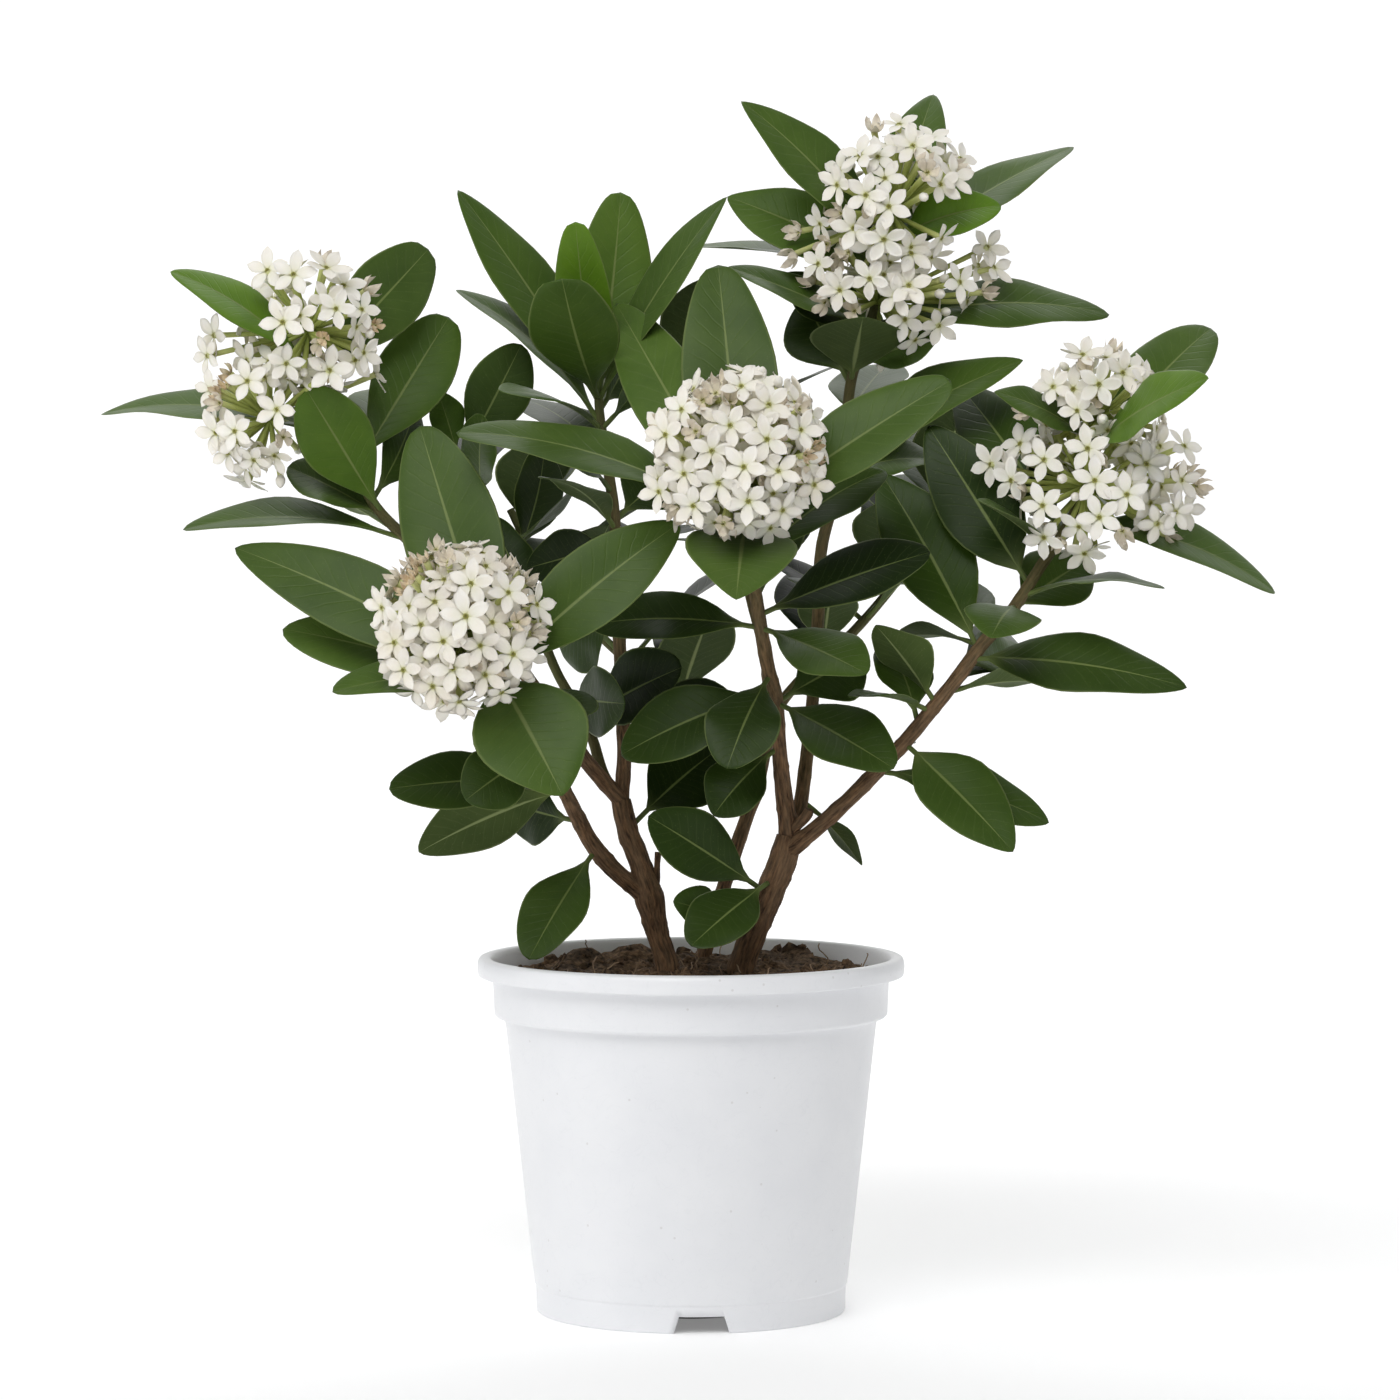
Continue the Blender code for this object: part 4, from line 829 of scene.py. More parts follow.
# %% Bark finish
wood = Finish("ridged_bark", 0.8, 0.3)
grain = wood.put("ShaderNodeAttribute", attribute_name="bark_place")["Vector"]
streak = wood.mottle(900.0, 3.0, (0.042, 0.022, 0.010), (0.27, 0.152, 0.076), grain)
flake = wood.mottle(330.0, 5.0, (0, 0, 0), (1, 1, 1), grain)
brown = wood.blend(flake["Mask"] * 0.35, streak["Color"], (0.22, 0.150, 0.088))
green = wood.mottle(500.0, 2.0, (0.065, 0.068, 0.022), (0.125, 0.135, 0.045), grain)
wood.coloured(wood.blend(wood.remap(wood.stored("age"), 0.1, 0.62), green["Color"], brown))
wood.raised(streak["Mask"], 0.0006, 0.7)

# %% Grow the wood
FLARE_REACH = 2.6
FLARE_SHARE = 0.9
FLARE_STRENGTH = 0.6
FORK_SWELL = 0.26
FORK_TAPER = 5


def wood_curve(name, run):
    """A stem's line as a curve, with each point's own girth."""
    curve = bpy.data.curves.new(name, "CURVE")
    curve.dimensions = "3D"
    spline = curve.splines.new("POLY")
    spline.points.add(len(run) - 1)
    for spot, (point, radius) in zip(spline.points, run):
        spot.co, spot.radius = (*point, 1), radius
    return curve


def flared(path, fork_radius):
    """A stem's path that widens at its foot, where it leaves the fork."""
    made, walked = [], 0.0
    for k, (point, radius) in enumerate(path):
        walked += (point - path[k - 1][0]).length if k else 0.0
        swell = max(0.0, 1 - walked / (FLARE_REACH * fork_radius))
        made.append((point, radius + (fork_radius * FLARE_SHARE - radius) * swell ** 2 * FLARE_STRENGTH))
    return made


def swollen(name, path):
    """A trunk's path, thicker at each fork but not at its own end."""
    forks = [seen(*STEMS[child][0][:3]) for child, parent in PARENTS.items() if parent == name]
    made = []
    for point, radius in path:
        swell = max([0.0] + [1 - (point - fork).length / (FLARE_REACH * radius) for fork in forks])
        swell *= min(1.0, (path[-1][0] - point).length / (FORK_TAPER * radius))
        made.append((point, radius * (1 + FORK_SWELL * swell)))
    return made


seed = 3
for name, points in STEMS.items():
    path = swollen(name, paths[name])
    if name in PARENTS:
        seed += 1
        fork = min(STEMS[PARENTS[name]], key=lambda point: math.dist(point[:3], points[0][:3]))
        path = flared(path, fork[3] * MM)
    dress(grow(name + "_bark", wood_curve(name, path), bark, {"Seed": seed, "Finish": wood.material}), "bark",
          name)
for name, points in SNAGS.items():
    dress(grow(name + "_snag", wood_curve(name, smooth_path(points, 3)), bark, {
        "Step": 0.001, "Ridge depth": 0.35, "Least age": 0.7, "Finish": wood.material}), "bark", name)

# %% [markdown]
# ## Leaves
#
# A leaf of this shrub is a stiff blade on a short stalk, elliptic, with a short point, folded a little along
# its midrib and waved at its edge. The drawing gives each leaf's foot, tip, width and the way its upper side
# looks. The rest, its bend, fold and wave, is drawn by chance with the leaf's own seed.

# %% Leaf drawing
# Height of the foot on the stem, tip (across, height, depth), full width, azimuth and elevation of the upper side
LEAVES = {
    "stem_a": [(418, -230, 461, -62, 30, 30, 50), (388, -261, 398, -30, 36, 0, 65),
               (414, -116, 471, 5, 34, 20, 10), (372, -107, 441, 20, 34, 10, 20),
               (366, -170, 409, -35, 36, 0, 10), (360, -122, 404, 30, 26, 60, 20),
               (342, -225, 347, -20, 34, 0, 70), (338, -177, 369, 25, 34, 0, 115)],
    "stem_b": [(282, -202, 339, -72, 36, -10, 30), (276, -181, 303, -45, 34, 0, 40),
               (279, -159, 275, -100, 36, 0, 110), (284, -120, 393, -52, 44, -5, 0),
               (283, -5, 350, -62, 36, 10, 30), (270, -57, 229, -105, 46, 5, 25),
               (236, -134, 232, -40, 34, 0, 45), (250, -100, 227, -62, 30, 0, 20),
               (232, -121, 204, -5, 32, 0, 150), (218, -83, 227, 20, 34, 0, -20),
               (205, -72, 156, -25, 32, -25, 20)],
    "stem_mid_left": [(376, -75, 429, 20, 30, 40, 40), (378, -112, 408, 15, 18, 20, 20),
                      (334, -65, 384, 40, 32, 50, 10), (358, -92, 398, 0, 24, -30, 20),
                      (338, -52, 366, 15, 20, 60, 10), (318, -88, 353, 10, 24, -20, 0),
                      (262, -4, 286, 5, 36, 0, 30), (272, -29, 270, -20, 32, 10, 0)],
    "stem_top": [(404, -103, 497, 40, 36, 30, 45), (406, -51, 483, -15, 26, -10, 20),
                 (405, -57, 458, -8, 40, -10, 5), (405, -31, 496, 35, 36, 15, 0),
                 (403, 16, 494, 15, 36, -30, 50), (394, -104, 453, -20, 34, 0, 75),
                 (391, -84, 408, -35, 34, 0, 65), (364, -69, 386, -20, 34, 10, 50),
                 (391, -15, 424, 0, 20, 50, 30), (400, -26, 430, 45, 26, 70, 20),
                 (347, -66, 370, -5, 28, 0, 75), (352, -10, 371, 40, 32, 0, 30),
                 (310, -58, 294, 58, 34, 0, 10), (342, -73, 330, -18, 26, -30, -10)],
    "stem_c": [(350, 12, 464, -18, 42, 0, 10), (348, -33, 447, -40, 34, -20, 30),
               (348, -104, 390, -58, 34, 0, 60), (334, 20, 316, -135, 48, 0, 40),
               (351, 115, 413, -70, 34, 5, 40), (330, 86, 373, -30, 36, -10, 55),
               (310, 106, 337, -50, 38, 0, 50), (303, 78, 283, -75, 34, 10, 45),
               (283, 16, 241, -55, 34, -10, 25), (270, 90, 241, -50, 36, 10, 40),
               (250, 10, 220, -10, 32, -20, 30), (270, 76, 291, 5, 34, 0, 20),
               (303, -44, 305, -20, 34, 0, 50), (262, -23, 266, 15, 34, 0, 35),
               (276, -31, 247, -20, 34, 0, 30)],
    "stem_d": [(468, 22, 536, -10, 34, 20, 40), (463, 16, 494, -25, 34, 10, 25),
               (464, -5, 472, 14, 34, 0, 80), (436, 16, 463, -5, 30, 0, 60),
               (412, 50, 449, 30, 36, 0, 0), (410, 66, 455, 52, 36, 10, 0),
               (413, 76, 441, -40, 42, 0, 115), (474, 137, 490, -50, 30, -10, 40),
               (472, 107, 539, 12, 30, -10, 10), (466, 169, 516, 5, 34, 0, 68),
               (436, 185, 442, -10, 34, 0, 50), (420, 110, 433, -20, 20, 20, 20),
               (380, 147, 422, -5, 36, 0, 50), (372, 110, 378, 15, 28, 0, 60),
               (226, 76, 198, 20, 22, 0, 100)],
    "stem_e": [(382, 229, 414, -75, 30, -10, 30), (378, 230, 436, -12, 32, 0, 30),
               (350, 259, 319, -35, 36, 0, 60), (318, 210, 321, -50, 34, 0, 85),
               (311, 176, 334, 5, 34, 0, 30), (336, 127, 360, -55, 30, 0, 70),
               (384, 134, 408, -65, 22, 60, 30), (312, 133, 299, -88, 34, 10, 60),
               (290, 220, 277, -50, 36, 5, 45), (275, 157, 280, -10, 30, 0, 110),
               (287, 150, 292, 15, 30, 0, 20), (296, 93, 300, 5, 30, 0, 110),
               (294, 84, 372, 0, 38, 10, 10), (322, 105, 393, -10, 36, 0, 0),
               (345, 118, 411, 15, 36, 0, 20), (270, 82, 305, -35, 32, 0, 105),
               (260, 86, 298, 0, 30, 30, 10), (266, 70, 273, 10, 26, 0, 85),
               (253, 143, 204, -45, 38, 10, 40), (240, 159, 217, -15, 32, 0, 50)],
}
WOOD_LEAVES = {
    "leaf_lower_right": ("trunk_right", (186, -19, 220, -18, 38, 0, 20)),
    "leaf_lower_front": ("trunk_right", (190, 0, 162, -38, 30, -10, 30)),
    "leaf_lower_small": ("trunk_right", (169, -8, 182, -34, 22, 0, 30)),
    "leaf_lower_left": ("trunk_left", (216, 11, 249, 30, 36, 0, 30)),
}
# Stems at the back carry pairs of leaves by rule: number of pairs, first height, spacing
BACK_PAIRS = {"stem_back": (5, 312, 23), "stem_back_left": (5, 270, 19), "stem_back_right": (5, 290, 16)}
BACK_LEAF_LENGTH = 88
BACK_LEAF_WIDTH = 36
BACK_LEAF_LIFT = 38
# Pairs behind the drawn ones: stem, height, azimuth of the tip, lift, length
HIDDEN_LEAVES = [
    ("stem_a", 380, 150, 25, 82), ("stem_a", 352, 205, 15, 86), ("stem_a", 300, 170, 10, 84),
    ("stem_b", 268, 215, 20, 80), ("stem_b", 252, 175, 15, 84), ("stem_mid_left", 366, 190, 20, 82),
    ("stem_mid_left", 322, 160, 15, 86), ("stem_mid_left", 292, 215, 5, 84), ("stem_top", 398, 170, 35, 82),
    ("stem_top", 378, 205, 20, 88), ("stem_top", 336, 150, 10, 86), ("stem_c", 330, 200, 10, 70),
    ("stem_d", 462, 175, 40, 84), ("stem_d", 430, 210, 25, 88), ("stem_d", 396, 150, 20, 90),
    ("stem_d", 356, 195, 10, 88), ("stem_d", 318, 165, 0, 84), ("stem_e", 366, 185, 30, 84),
    ("stem_e", 340, 150, 20, 86), ("stem_e", 306, 200, 10, 86), ("stem_e", 280, 165, 5, 84),
    ("stem_e", 250, 190, -5, 80),
]

# %% Leaf shape
PETIOLE_LENGTH = 8
PETIOLE_RADIUS = 1.2
PETIOLE_SHARE = 0.2
LEAST_LEAN = 0.2


def facing_vector(azimuth, elevation):
    """A direction from its azimuth, which is 0 towards the front, and its elevation."""
    turn, lift = math.radians(azimuth), math.radians(elevation)
    return Vector((math.sin(turn) * math.cos(lift), -math.cos(turn) * math.cos(lift), math.sin(lift)))


def set_axes(leaf, facing):
    """A blade's own axes: along it, out of its upper side, and across."""
    run = leaf["tip"] - leaf["foot"]
    axis = run.normalized()
    normal = facing - axis * facing.dot(axis)
    if normal.length < LEAST_LEAN:
        normal = Vector((0, 0, 1)) - axis * axis.z
    normal.normalize()
    leaf.update(axis=axis, normal=normal, side=normal.cross(axis), length=run.length)


def leaf_shape(foot, tip, width, facing, seed):
    """A blade's axes and its random bend, fold and wave."""
    draw = random.Random(seed)
    leaf = {"foot": foot, "tip": tip, "half": width * MM / 2, "arch": draw.uniform(0.02, 0.09),
            "fold": math.radians(draw.uniform(6, 20)), "wave": draw.uniform(0.3, 1.4) * MM,
            "phase": draw.uniform(0, 6.28), "waves": draw.uniform(1.2, 2.2)}
    set_axes(leaf, facing)
    return leaf


def petiole_of(leaf):
    """The share of the leaf's length that is its stalk."""
    return min(PETIOLE_LENGTH * MM / leaf["length"], PETIOLE_SHARE)


def midrib(leaf, share):
    """A point of the arched midrib."""
    arch = leaf["arch"] * leaf["length"] * 4 * share * (1 - share)
    return leaf["foot"] + (leaf["tip"] - leaf["foot"]) * share + leaf["normal"] * arch


# %% [markdown]
# ### Finding each leaf
#
# When the solids were made, a leaf that met another was moved in depth, rolled or shortened. Those tests for
# room could be made again, but the solids already hold the answer. So the same tries are made here, and the
# one whose tip is a corner of its solid is kept. A search tree of the corners makes that quick. A leaf whose
# try is nowhere to be found was left out of the solids, and is left out here as well.

# %% Find a leaf
ARM_LENGTH = 15
ARM_MARGIN = 4
TRY_DEPTHS = (0, 7, -7, 14, -14, 22, -22, 31, -31, 42, -42, 55, -55, 70, -70)
TRY_ROLLS = (0, 20, -20, 40, -40, 60, -60)
TRY_LENGTHS = (1, 0.88, 0.76, 0.64)
NARROWEST = 0.4
EDGE_SHARE = 0.55
NEAR_CORNER = 0.05


def solid_edge(leaf, across):
    """A corner of the solid leaf's edge, a little past its middle."""
    petiole = petiole_of(leaf)
    half = leaf["half"] * math.sin(math.pi * EDGE_SHARE ** 0.82) ** 0.75
    wave = math.sin(2 * math.pi * leaf["waves"] * EDGE_SHARE + leaf["phase"] + across)
    lift = (half * math.sin(leaf["fold"]) * (1 - 0.5 * EDGE_SHARE)
            + leaf["wave"] * wave * math.sin(math.pi * EDGE_SHARE))
    return (midrib(leaf, petiole + (1 - petiole) * EDGE_SHARE) + leaf["side"] * (half * across)
            + leaf["normal"] * lift)


def corners_of(node):
    """The corners of a solid, ready to be searched."""
    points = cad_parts[node].data.vertices
    tree = KDTree(len(points))
    for k, vertex in enumerate(points):
        tree.insert(vertex.co, k)
    tree.balance()
    return tree


def near_corner(corners, place):
    """Whether a corner of the solid is at this place."""
    return corners.find(place)[2] < NEAR_CORNER * MM


def find_leaf(corners, foot, tip, width, facing, seed):
    """The try whose tip is a corner of the solid, with the roll that fits its edges best."""
    away = (tip - eye.location).normalized()
    for length in TRY_LENGTHS:
        for depth in TRY_DEPTHS:
            end = foot + (tip + away * (depth * MM) - foot) * length
            if not near_corner(corners, end):
                continue
            tries, narrow = [], NARROWEST + (1 - NARROWEST) * length
            for roll in TRY_ROLLS:
                rolled = Matrix.Rotation(math.radians(roll), 3, (end - foot).normalized()) @ facing
                tries.append(leaf_shape(foot, end, width * narrow, rolled, seed))
            best = min(tries, key=lambda leaf: sum(corners.find(solid_edge(leaf, side))[2] for side in (-1, 1)))
            return {**best, "share": length, "narrow": narrow}
    return None


def foot_on(name, height):
    """The place on a stem's middle line, past its arm and short of its end, at this height."""
    path, walked, spots = paths[name], 0.0, []
    for (before, _), (spot, _) in zip(path, path[1:-1]):
        walked += (spot - before).length
        if walked > (ARM_LENGTH + ARM_MARGIN) * MM:
            spots.append(spot)
    return min(spots, key=lambda spot: abs(drawn(spot)[1] - height))


# %% Find every leaf
WOOD_LEAF_GAPS = (0.3, 0.45, 0.6, 0.8)
WOOD_LEAF_DEPTH = 0.5
# How much the leaves that are drawn by rule sway to the sides, differ in length, and turn their face
BACK_LEAF_SWAY = 15
BACK_LEAF_SHARE, BACK_LEAF_SPREAD = 0.92, 0.1
BACK_LEAF_LEAN = 0.3


def wood_leaf(node, stem, height, *row):
    """A leaf on old wood: its foot stands just off the trunk's surface."""
    *tip, width, azimuth, elevation = row
    path, tip = paths[stem], seen(*tip)
    k = min(range(1, len(path)), key=lambda k: abs(drawn(path[k][0])[1] - height))
    spot, radius = path[k]
    run = (spot - path[k - 1][0]).normalized()
    out = tip - spot
    out = (out - run * out.dot(run)).normalized()
    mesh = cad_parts[stem].data
    trunk = BVHTree.FromPolygons([v.co for v in mesh.vertices], [tuple(f.vertices) for f in mesh.polygons])
    surface = trunk.ray_cast(spot + out * (4 * radius), -out)[0]
    for gap in WOOD_LEAF_GAPS:
        leaf = find_leaf(corners_of(node), surface + out * (gap * MM), tip, width,
                         facing_vector(azimuth, elevation), node)
        if leaf:
            return {**leaf, "foot": surface - out * (WOOD_LEAF_DEPTH * MM)}
    return None


leaves, missing = {name: [] for name in (*PARENTS, *WOOD_LEAVES)}, []


def keep_leaf(leaf, name, row):
    """Notes a leaf that was found, or that it wasn't."""
    if leaf:
        leaves[name].append({**leaf, "label": (name, row)})
    else:
        missing.append((name, row))


for name, rows in LEAVES.items():
    corners = corners_of(name)
    for k, (height, across, tip_height, depth, width, azimuth, elevation) in enumerate(rows):
        keep_leaf(find_leaf(corners, foot_on(name, height), seen(across, tip_height, depth), width,
                            facing_vector(azimuth, elevation), f"{name}{k}"), name, k)
pairs = [(name, first + spacing * pair, 90 * pair + 180 * mate, BACK_LEAF_LIFT - 5 * mate, BACK_LEAF_LENGTH)
         for name, (count, first, spacing) in BACK_PAIRS.items() for pair in range(count) for mate in (0, 1)]
for k, (name, height, azimuth, lift, length) in enumerate(HIDDEN_LEAVES + pairs):
    foot = foot_on(name, height)
    out = facing_vector(azimuth + BACK_LEAF_SWAY * math.sin(k * 2.4), lift)
    tip = foot + out * (length * (BACK_LEAF_SHARE + BACK_LEAF_SPREAD * math.sin(k * 1.7)) * MM)
    facing = Vector((0, 0, 1)) - out * BACK_LEAF_LEAN
    keep_leaf(find_leaf(corners_of(name), foot, tip, BACK_LEAF_WIDTH, facing, k), name, 100 + k)
for node, (stem, row) in WOOD_LEAVES.items():
    keep_leaf(wood_leaf(node, stem, *row), node, 0)
print("leaves found:", sum(map(len, leaves.values())), "not found:", missing)

# %% [markdown]
# ### Every leaf its own
#
# Two leaves of a shrub are never alike: young ones are fresh green, and some are blunter or longer than
# others. Most of it is drawn by chance from the leaf's own label. The tone also carries painted shade and
# light: it follows how far out and how far forward the leaf stands, so leaves deep in the plant are painted
# darker and outer ones lighter. Leaves that stand out in the picture are listed by label, with their own
# green, tone with painted shade and light, outline, foot, length or width.

# %% Fit the leaves to the picture
# Share of young green, tone with painted shade and light, and (bluntness of the tip, place of the widest part) of
# leaves that differ
YOUNG = {("stem_top", 1): 0.8, ("stem_a", 0): 0.74, ("stem_a", 3): 0.16, ("stem_a", 4): 0.38, ("stem_d", 7): 0.85,
         ("stem_e", 0): 0.62, ("stem_d", 3): 0.2, ("stem_top", 2): 0.16, ("stem_mid_left", 1): 0.3,
         ("leaf_lower_right", 0): 0.12}
TONES_AND_SHADES = {("stem_top", 3): 0.95, ("stem_e", 12): 0.0, ("stem_c", 6): 0.04, ("stem_e", 8): 0.3,
         ("leaf_lower_right", 0): 0.05, ("stem_b", 5): 0.75, ("stem_e", 13): 0.0, ("stem_e", 14): 0.1,
         ("stem_c", 1): 0.85}
SHAPES = {("stem_top", 1): (0.40, 1.0), ("stem_top", 2): (0.32, 1.42), ("stem_top", 3): (0.46, 1.0),
          ("stem_c", 0): (0.45, 1.0), ("stem_b", 3): (0.52, 1.05), ("stem_a", 4): (0.44, 1.3),
          ("stem_b", 0): (0.68, 0.98), ("stem_b", 4): (0.62, 1.0), ("stem_top", 0): (0.74, 0.95),
          ("stem_top", 4): (0.80, 1.0), ("stem_a", 1): (0.78, 0.98), ("stem_e", 1): (0.5, 1.1),
          ("stem_b", 5): (0.70, 0.92), ("stem_c", 3): (0.82, 0.80), ("stem_c", 1): (0.62, 1.0),
          ("stem_a", 2): (0.42, 1.25), ("stem_a", 3): (0.42, 1.3)}
# Leaves whose foot is at another height than the solid's, leaves as long as drawn although their solid was
# shortened, and the share of the solid's width of some leaves
HIDDEN_FEET = {("stem_b", 5): 286, ("stem_c", 3): 348, ("stem_a", 4): 354}
FULL_LENGTH = {("stem_c", 1)}
WIDTH_SHARES = {("leaf_lower_right", 0): 0.8, ("stem_a", 4): 0.92, ("stem_b", 5): 1.12}
SHADE_CENTRE = Vector((0, 20, 280)) * MM
SHADE_REACH = 200 * MM
OLIVE_STEMS = ("stem_top", "stem_a", "stem_d", "stem_e")
POINTED_STEMS = ("stem_d", "stem_e")


def fit_leaf(leaf):
    """Gives a leaf its outline, the place and size that the picture shows, its tone with painted shade and light,
    and its green.
    """
    label, stem = leaf["label"], leaf["label"][0]
    draw = random.Random(str(label))
    pointed = 0.16 if stem in POINTED_STEMS else 0
    drawn_shape = draw.uniform(0.46, 0.66) + pointed, draw.uniform(0.98, 1.26) - pointed
    leaf["blunt"], leaf["skew"] = SHAPES.get(label, drawn_shape)
    if label in HIDDEN_FEET:
        leaf["foot"] = foot_on(stem, HIDDEN_FEET[label])
        set_axes(leaf, leaf["normal"])
    if label in FULL_LENGTH:
        leaf["tip"] = leaf["foot"] + (leaf["tip"] - leaf["foot"]) / leaf["share"]
        leaf["length"] /= leaf["share"]
        leaf["half"] /= leaf["narrow"]
    leaf["half"] *= WIDTH_SHARES.get(label, 1)
    middle = (leaf["foot"] + leaf["tip"]) / 2
    outer = (middle - SHADE_CENTRE).length / SHADE_REACH
    # Painted shade and light: leaves nearer the middle of the plant and further back get a darker tone, outer and
    # forward ones a lighter one, plus a random part of their own.
    tone_and_shade = 0.62 * outer - 4.0 * middle.y + draw.uniform(-0.22, 0.18)
    olive = draw.uniform(0, 0.20 if stem in OLIVE_STEMS else 0.07)
    leaf["tone_and_shade"] = max(0.0, min(1.0, TONES_AND_SHADES.get(label, tone_and_shade)))
    leaf["young"] = YOUNG.get(label, olive)


for group in leaves.values():
    for leaf in group:
        fit_leaf(leaf)
young = sum(leaf["young"] > 0.5 for group in leaves.values() for leaf in group)
print("leaves that are still young green:", young)

# %% [markdown]
# ### Blade
#
# The fine blade is a flat tube of rings. Each ring goes over the upper side from edge to edge and back under
# the lower side, so the blade is closed, has an edge, and both sides share it. The stalk is the same tube made
# round. A UV map gives each point its share of the length and its place from edge to edge, which is all that
# the veins need. Three values are stored as well: the leaf's tone with its painted shade and light, how young
# it is, and how much of a point belongs to the stalk.

# %% Blade mesh
COLUMNS = (-1, -0.965, -0.7, -0.36, -0.1, 0, 0.1, 0.36, 0.7, 0.965, 1)
RING = COLUMNS + COLUMNS[-2:0:-1]
BLADE_RINGS = 16
TIP_CROWDING = 1.45
HALF_THICKNESS = 0.26
RIB_HEIGHT = 0.55
RIB_WIDTH = 0.9
UPPER_RIB_SHARE = 0.35
STALK_FADE = 0.12
FOOT_POWER = 0.95
# How softly the fold turns at the midrib, and how much the edge droops
FOLD_SOFTNESS, FOLD_SETBACK = 0.004, 0.063
EDGE_DROOP = 0.05


def fine_point(leaf, share, across, under):
    """A point on the fine leaf, on its upper side or under it, and how much of it is stalk."""
    petiole = petiole_of(leaf)
    blade = max(0.0, (share - petiole) / (1 - petiole))
    stalk = max(0.0, 1 - blade / STALK_FADE)
    power = FOOT_POWER + (leaf["blunt"] - FOOT_POWER) * blade ** 1.5
    outline = max(math.sin(math.pi * min(blade, 1.0) ** leaf["skew"]), 0.0) ** power
    half = max(leaf["half"] * outline, PETIOLE_RADIUS * MM * (1 - blade))
    fold = math.sqrt(across * across + FOLD_SOFTNESS) - FOLD_SETBACK
    lift = half * math.sin(leaf["fold"]) * (1 - 0.5 * blade) * fold - half * EDGE_DROOP * across ** 4
    wave = math.sin(2 * math.pi * leaf["waves"] * blade + leaf["phase"] + across)
    lift += leaf["wave"] * wave * math.sin(math.pi * blade) * abs(across) ** 1.5
    lens = math.sqrt(max(0.0, 1 - across * across))
    thick = (HALF_THICKNESS * (1 - stalk) + PETIOLE_RADIUS * stalk) * MM * lens
    ridge = math.exp(-(across * half / (RIB_WIDTH * MM)) ** 2)
    rib = RIB_HEIGHT * MM * (1 - 0.8 * blade) * ridge * (1 - stalk)
    rise = lift * (1 - stalk) + (-thick - rib if under else thick - UPPER_RIB_SHARE * rib)
    return midrib(leaf, share) + leaf["side"] * (half * across) + leaf["normal"] * rise, stalk


def blade_tubes(group):
    """Some leaves as tubes of rings: points, faces, place on the blade, stored values and lower faces."""
    verts, faces, uvs, values, lower = [], [], [], [], []
    for leaf in group:
        petiole, look = petiole_of(leaf), (leaf["tone_and_shade"], leaf["young"])
        shares = [petiole * 0.06, petiole * 0.5, petiole]
        shares += [petiole + (1 - petiole) * (1 - (1 - k / BLADE_RINGS) ** TIP_CROWDING)
                   for k in range(1, BLADE_RINGS)]
        first = len(verts)
        points = [(leaf["foot"], (0, 0.5), 1)]
        for share in shares:
            for k, across in enumerate(RING):
                point, stalk = fine_point(leaf, share, across, k >= len(COLUMNS))
                points.append((point, (share, (across + 1) / 2), stalk))
        points.append((leaf["tip"], (1, 0.5), 0))
        verts += [point for point, _uv, _stalk in points]
        uvs += [uv for _point, uv, _stalk in points]
        values += [(*look, stalk) for _point, _uv, stalk in points]
        last, size = len(verts) - 1, len(RING)
        for k in range(size):
            after = (k + 1) % size
            side = [(first, first + 1 + k, first + 1 + after), *strip(first + 1, len(shares), size, k),
                    (last - size + k, last, last - size + after)]
            faces += side
            lower += [int(k >= len(COLUMNS) - 1)] * len(side)
    return verts, faces, uvs, values, lower


def blade_mesh(name, group, finishes):
    """One mesh of some leaves, with its map, its stored values and its upper and lower finish."""
    verts, faces, uvs, values, lower = blade_tubes(group)
    mesh = mesh_of(name, verts, faces)
    layer = mesh.uv_layers.new(name="Blade")
    for loop in mesh.loops:
        layer.data[loop.index].uv = uvs[loop.vertex_index]
    for k, label in enumerate(("tone_and_shade", "young", "stalk")):
        mesh.attributes.new(label, "FLOAT", "POINT").data.foreach_set("value", [value[k] for value in values])
    for finish in finishes:
        mesh.materials.append(finish)
    mesh.polygons.foreach_set("material_index", lower)
    return mesh


# %% [markdown]
# ### Leaf finish
#
# The upper side is dark green with a plain satin shine, and the lower side is paler, greyer and duller. On
# both, the midrib is a pale line that thins out to the tip, the edge is a hair of pale green, and faint side
# veins run forward from the midrib. All these lines are drawn from the UV map. The group Veins puts them out
# as masks, and both finishes use it.

# %% Veins group
veins = shader_group("Veins", [("UV", "Vector"), ("Rib width", "Float", 0.05), ("Edge width", "Float", 0.03),
                               ("Pairs", "Float", 15.0)],
                     [("Rib", "Float"), ("Edge", "Float"), ("Side veins", "Float")])
given = veins.given
split = veins.put("ShaderNodeSeparateXYZ", {"Vector": given["UV"]})
across = veins.sum("ABSOLUTE", split[1] * 2.0 - 1.0)
rib = veins.remap(across / (given["Rib width"] * (1.15 - split[0])), 0.55, 1.25, 1.0, 0.0)
edge = veins.remap(across, 1.0 - given["Edge width"], 1.0)
forward = veins.sum("POWER", across, 0.8) * 0.16
wobble = veins.put("ShaderNodeTexNoise", {"Vector": given["UV"], "Scale": 5.0, "Detail": 1.0})
along = split[0] - forward + wobble * 0.03
stripe = veins.sum("PINGPONG", along * given["Pairs"], 0.5)
side = veins.remap(stripe, 0.0, 0.10, 1.0, 0.0) * veins.remap(across, 0.55, 0.95, 1.0, 0.0)
VEINS = veins.close(Rib=rib, Edge=edge, Side_veins=side)


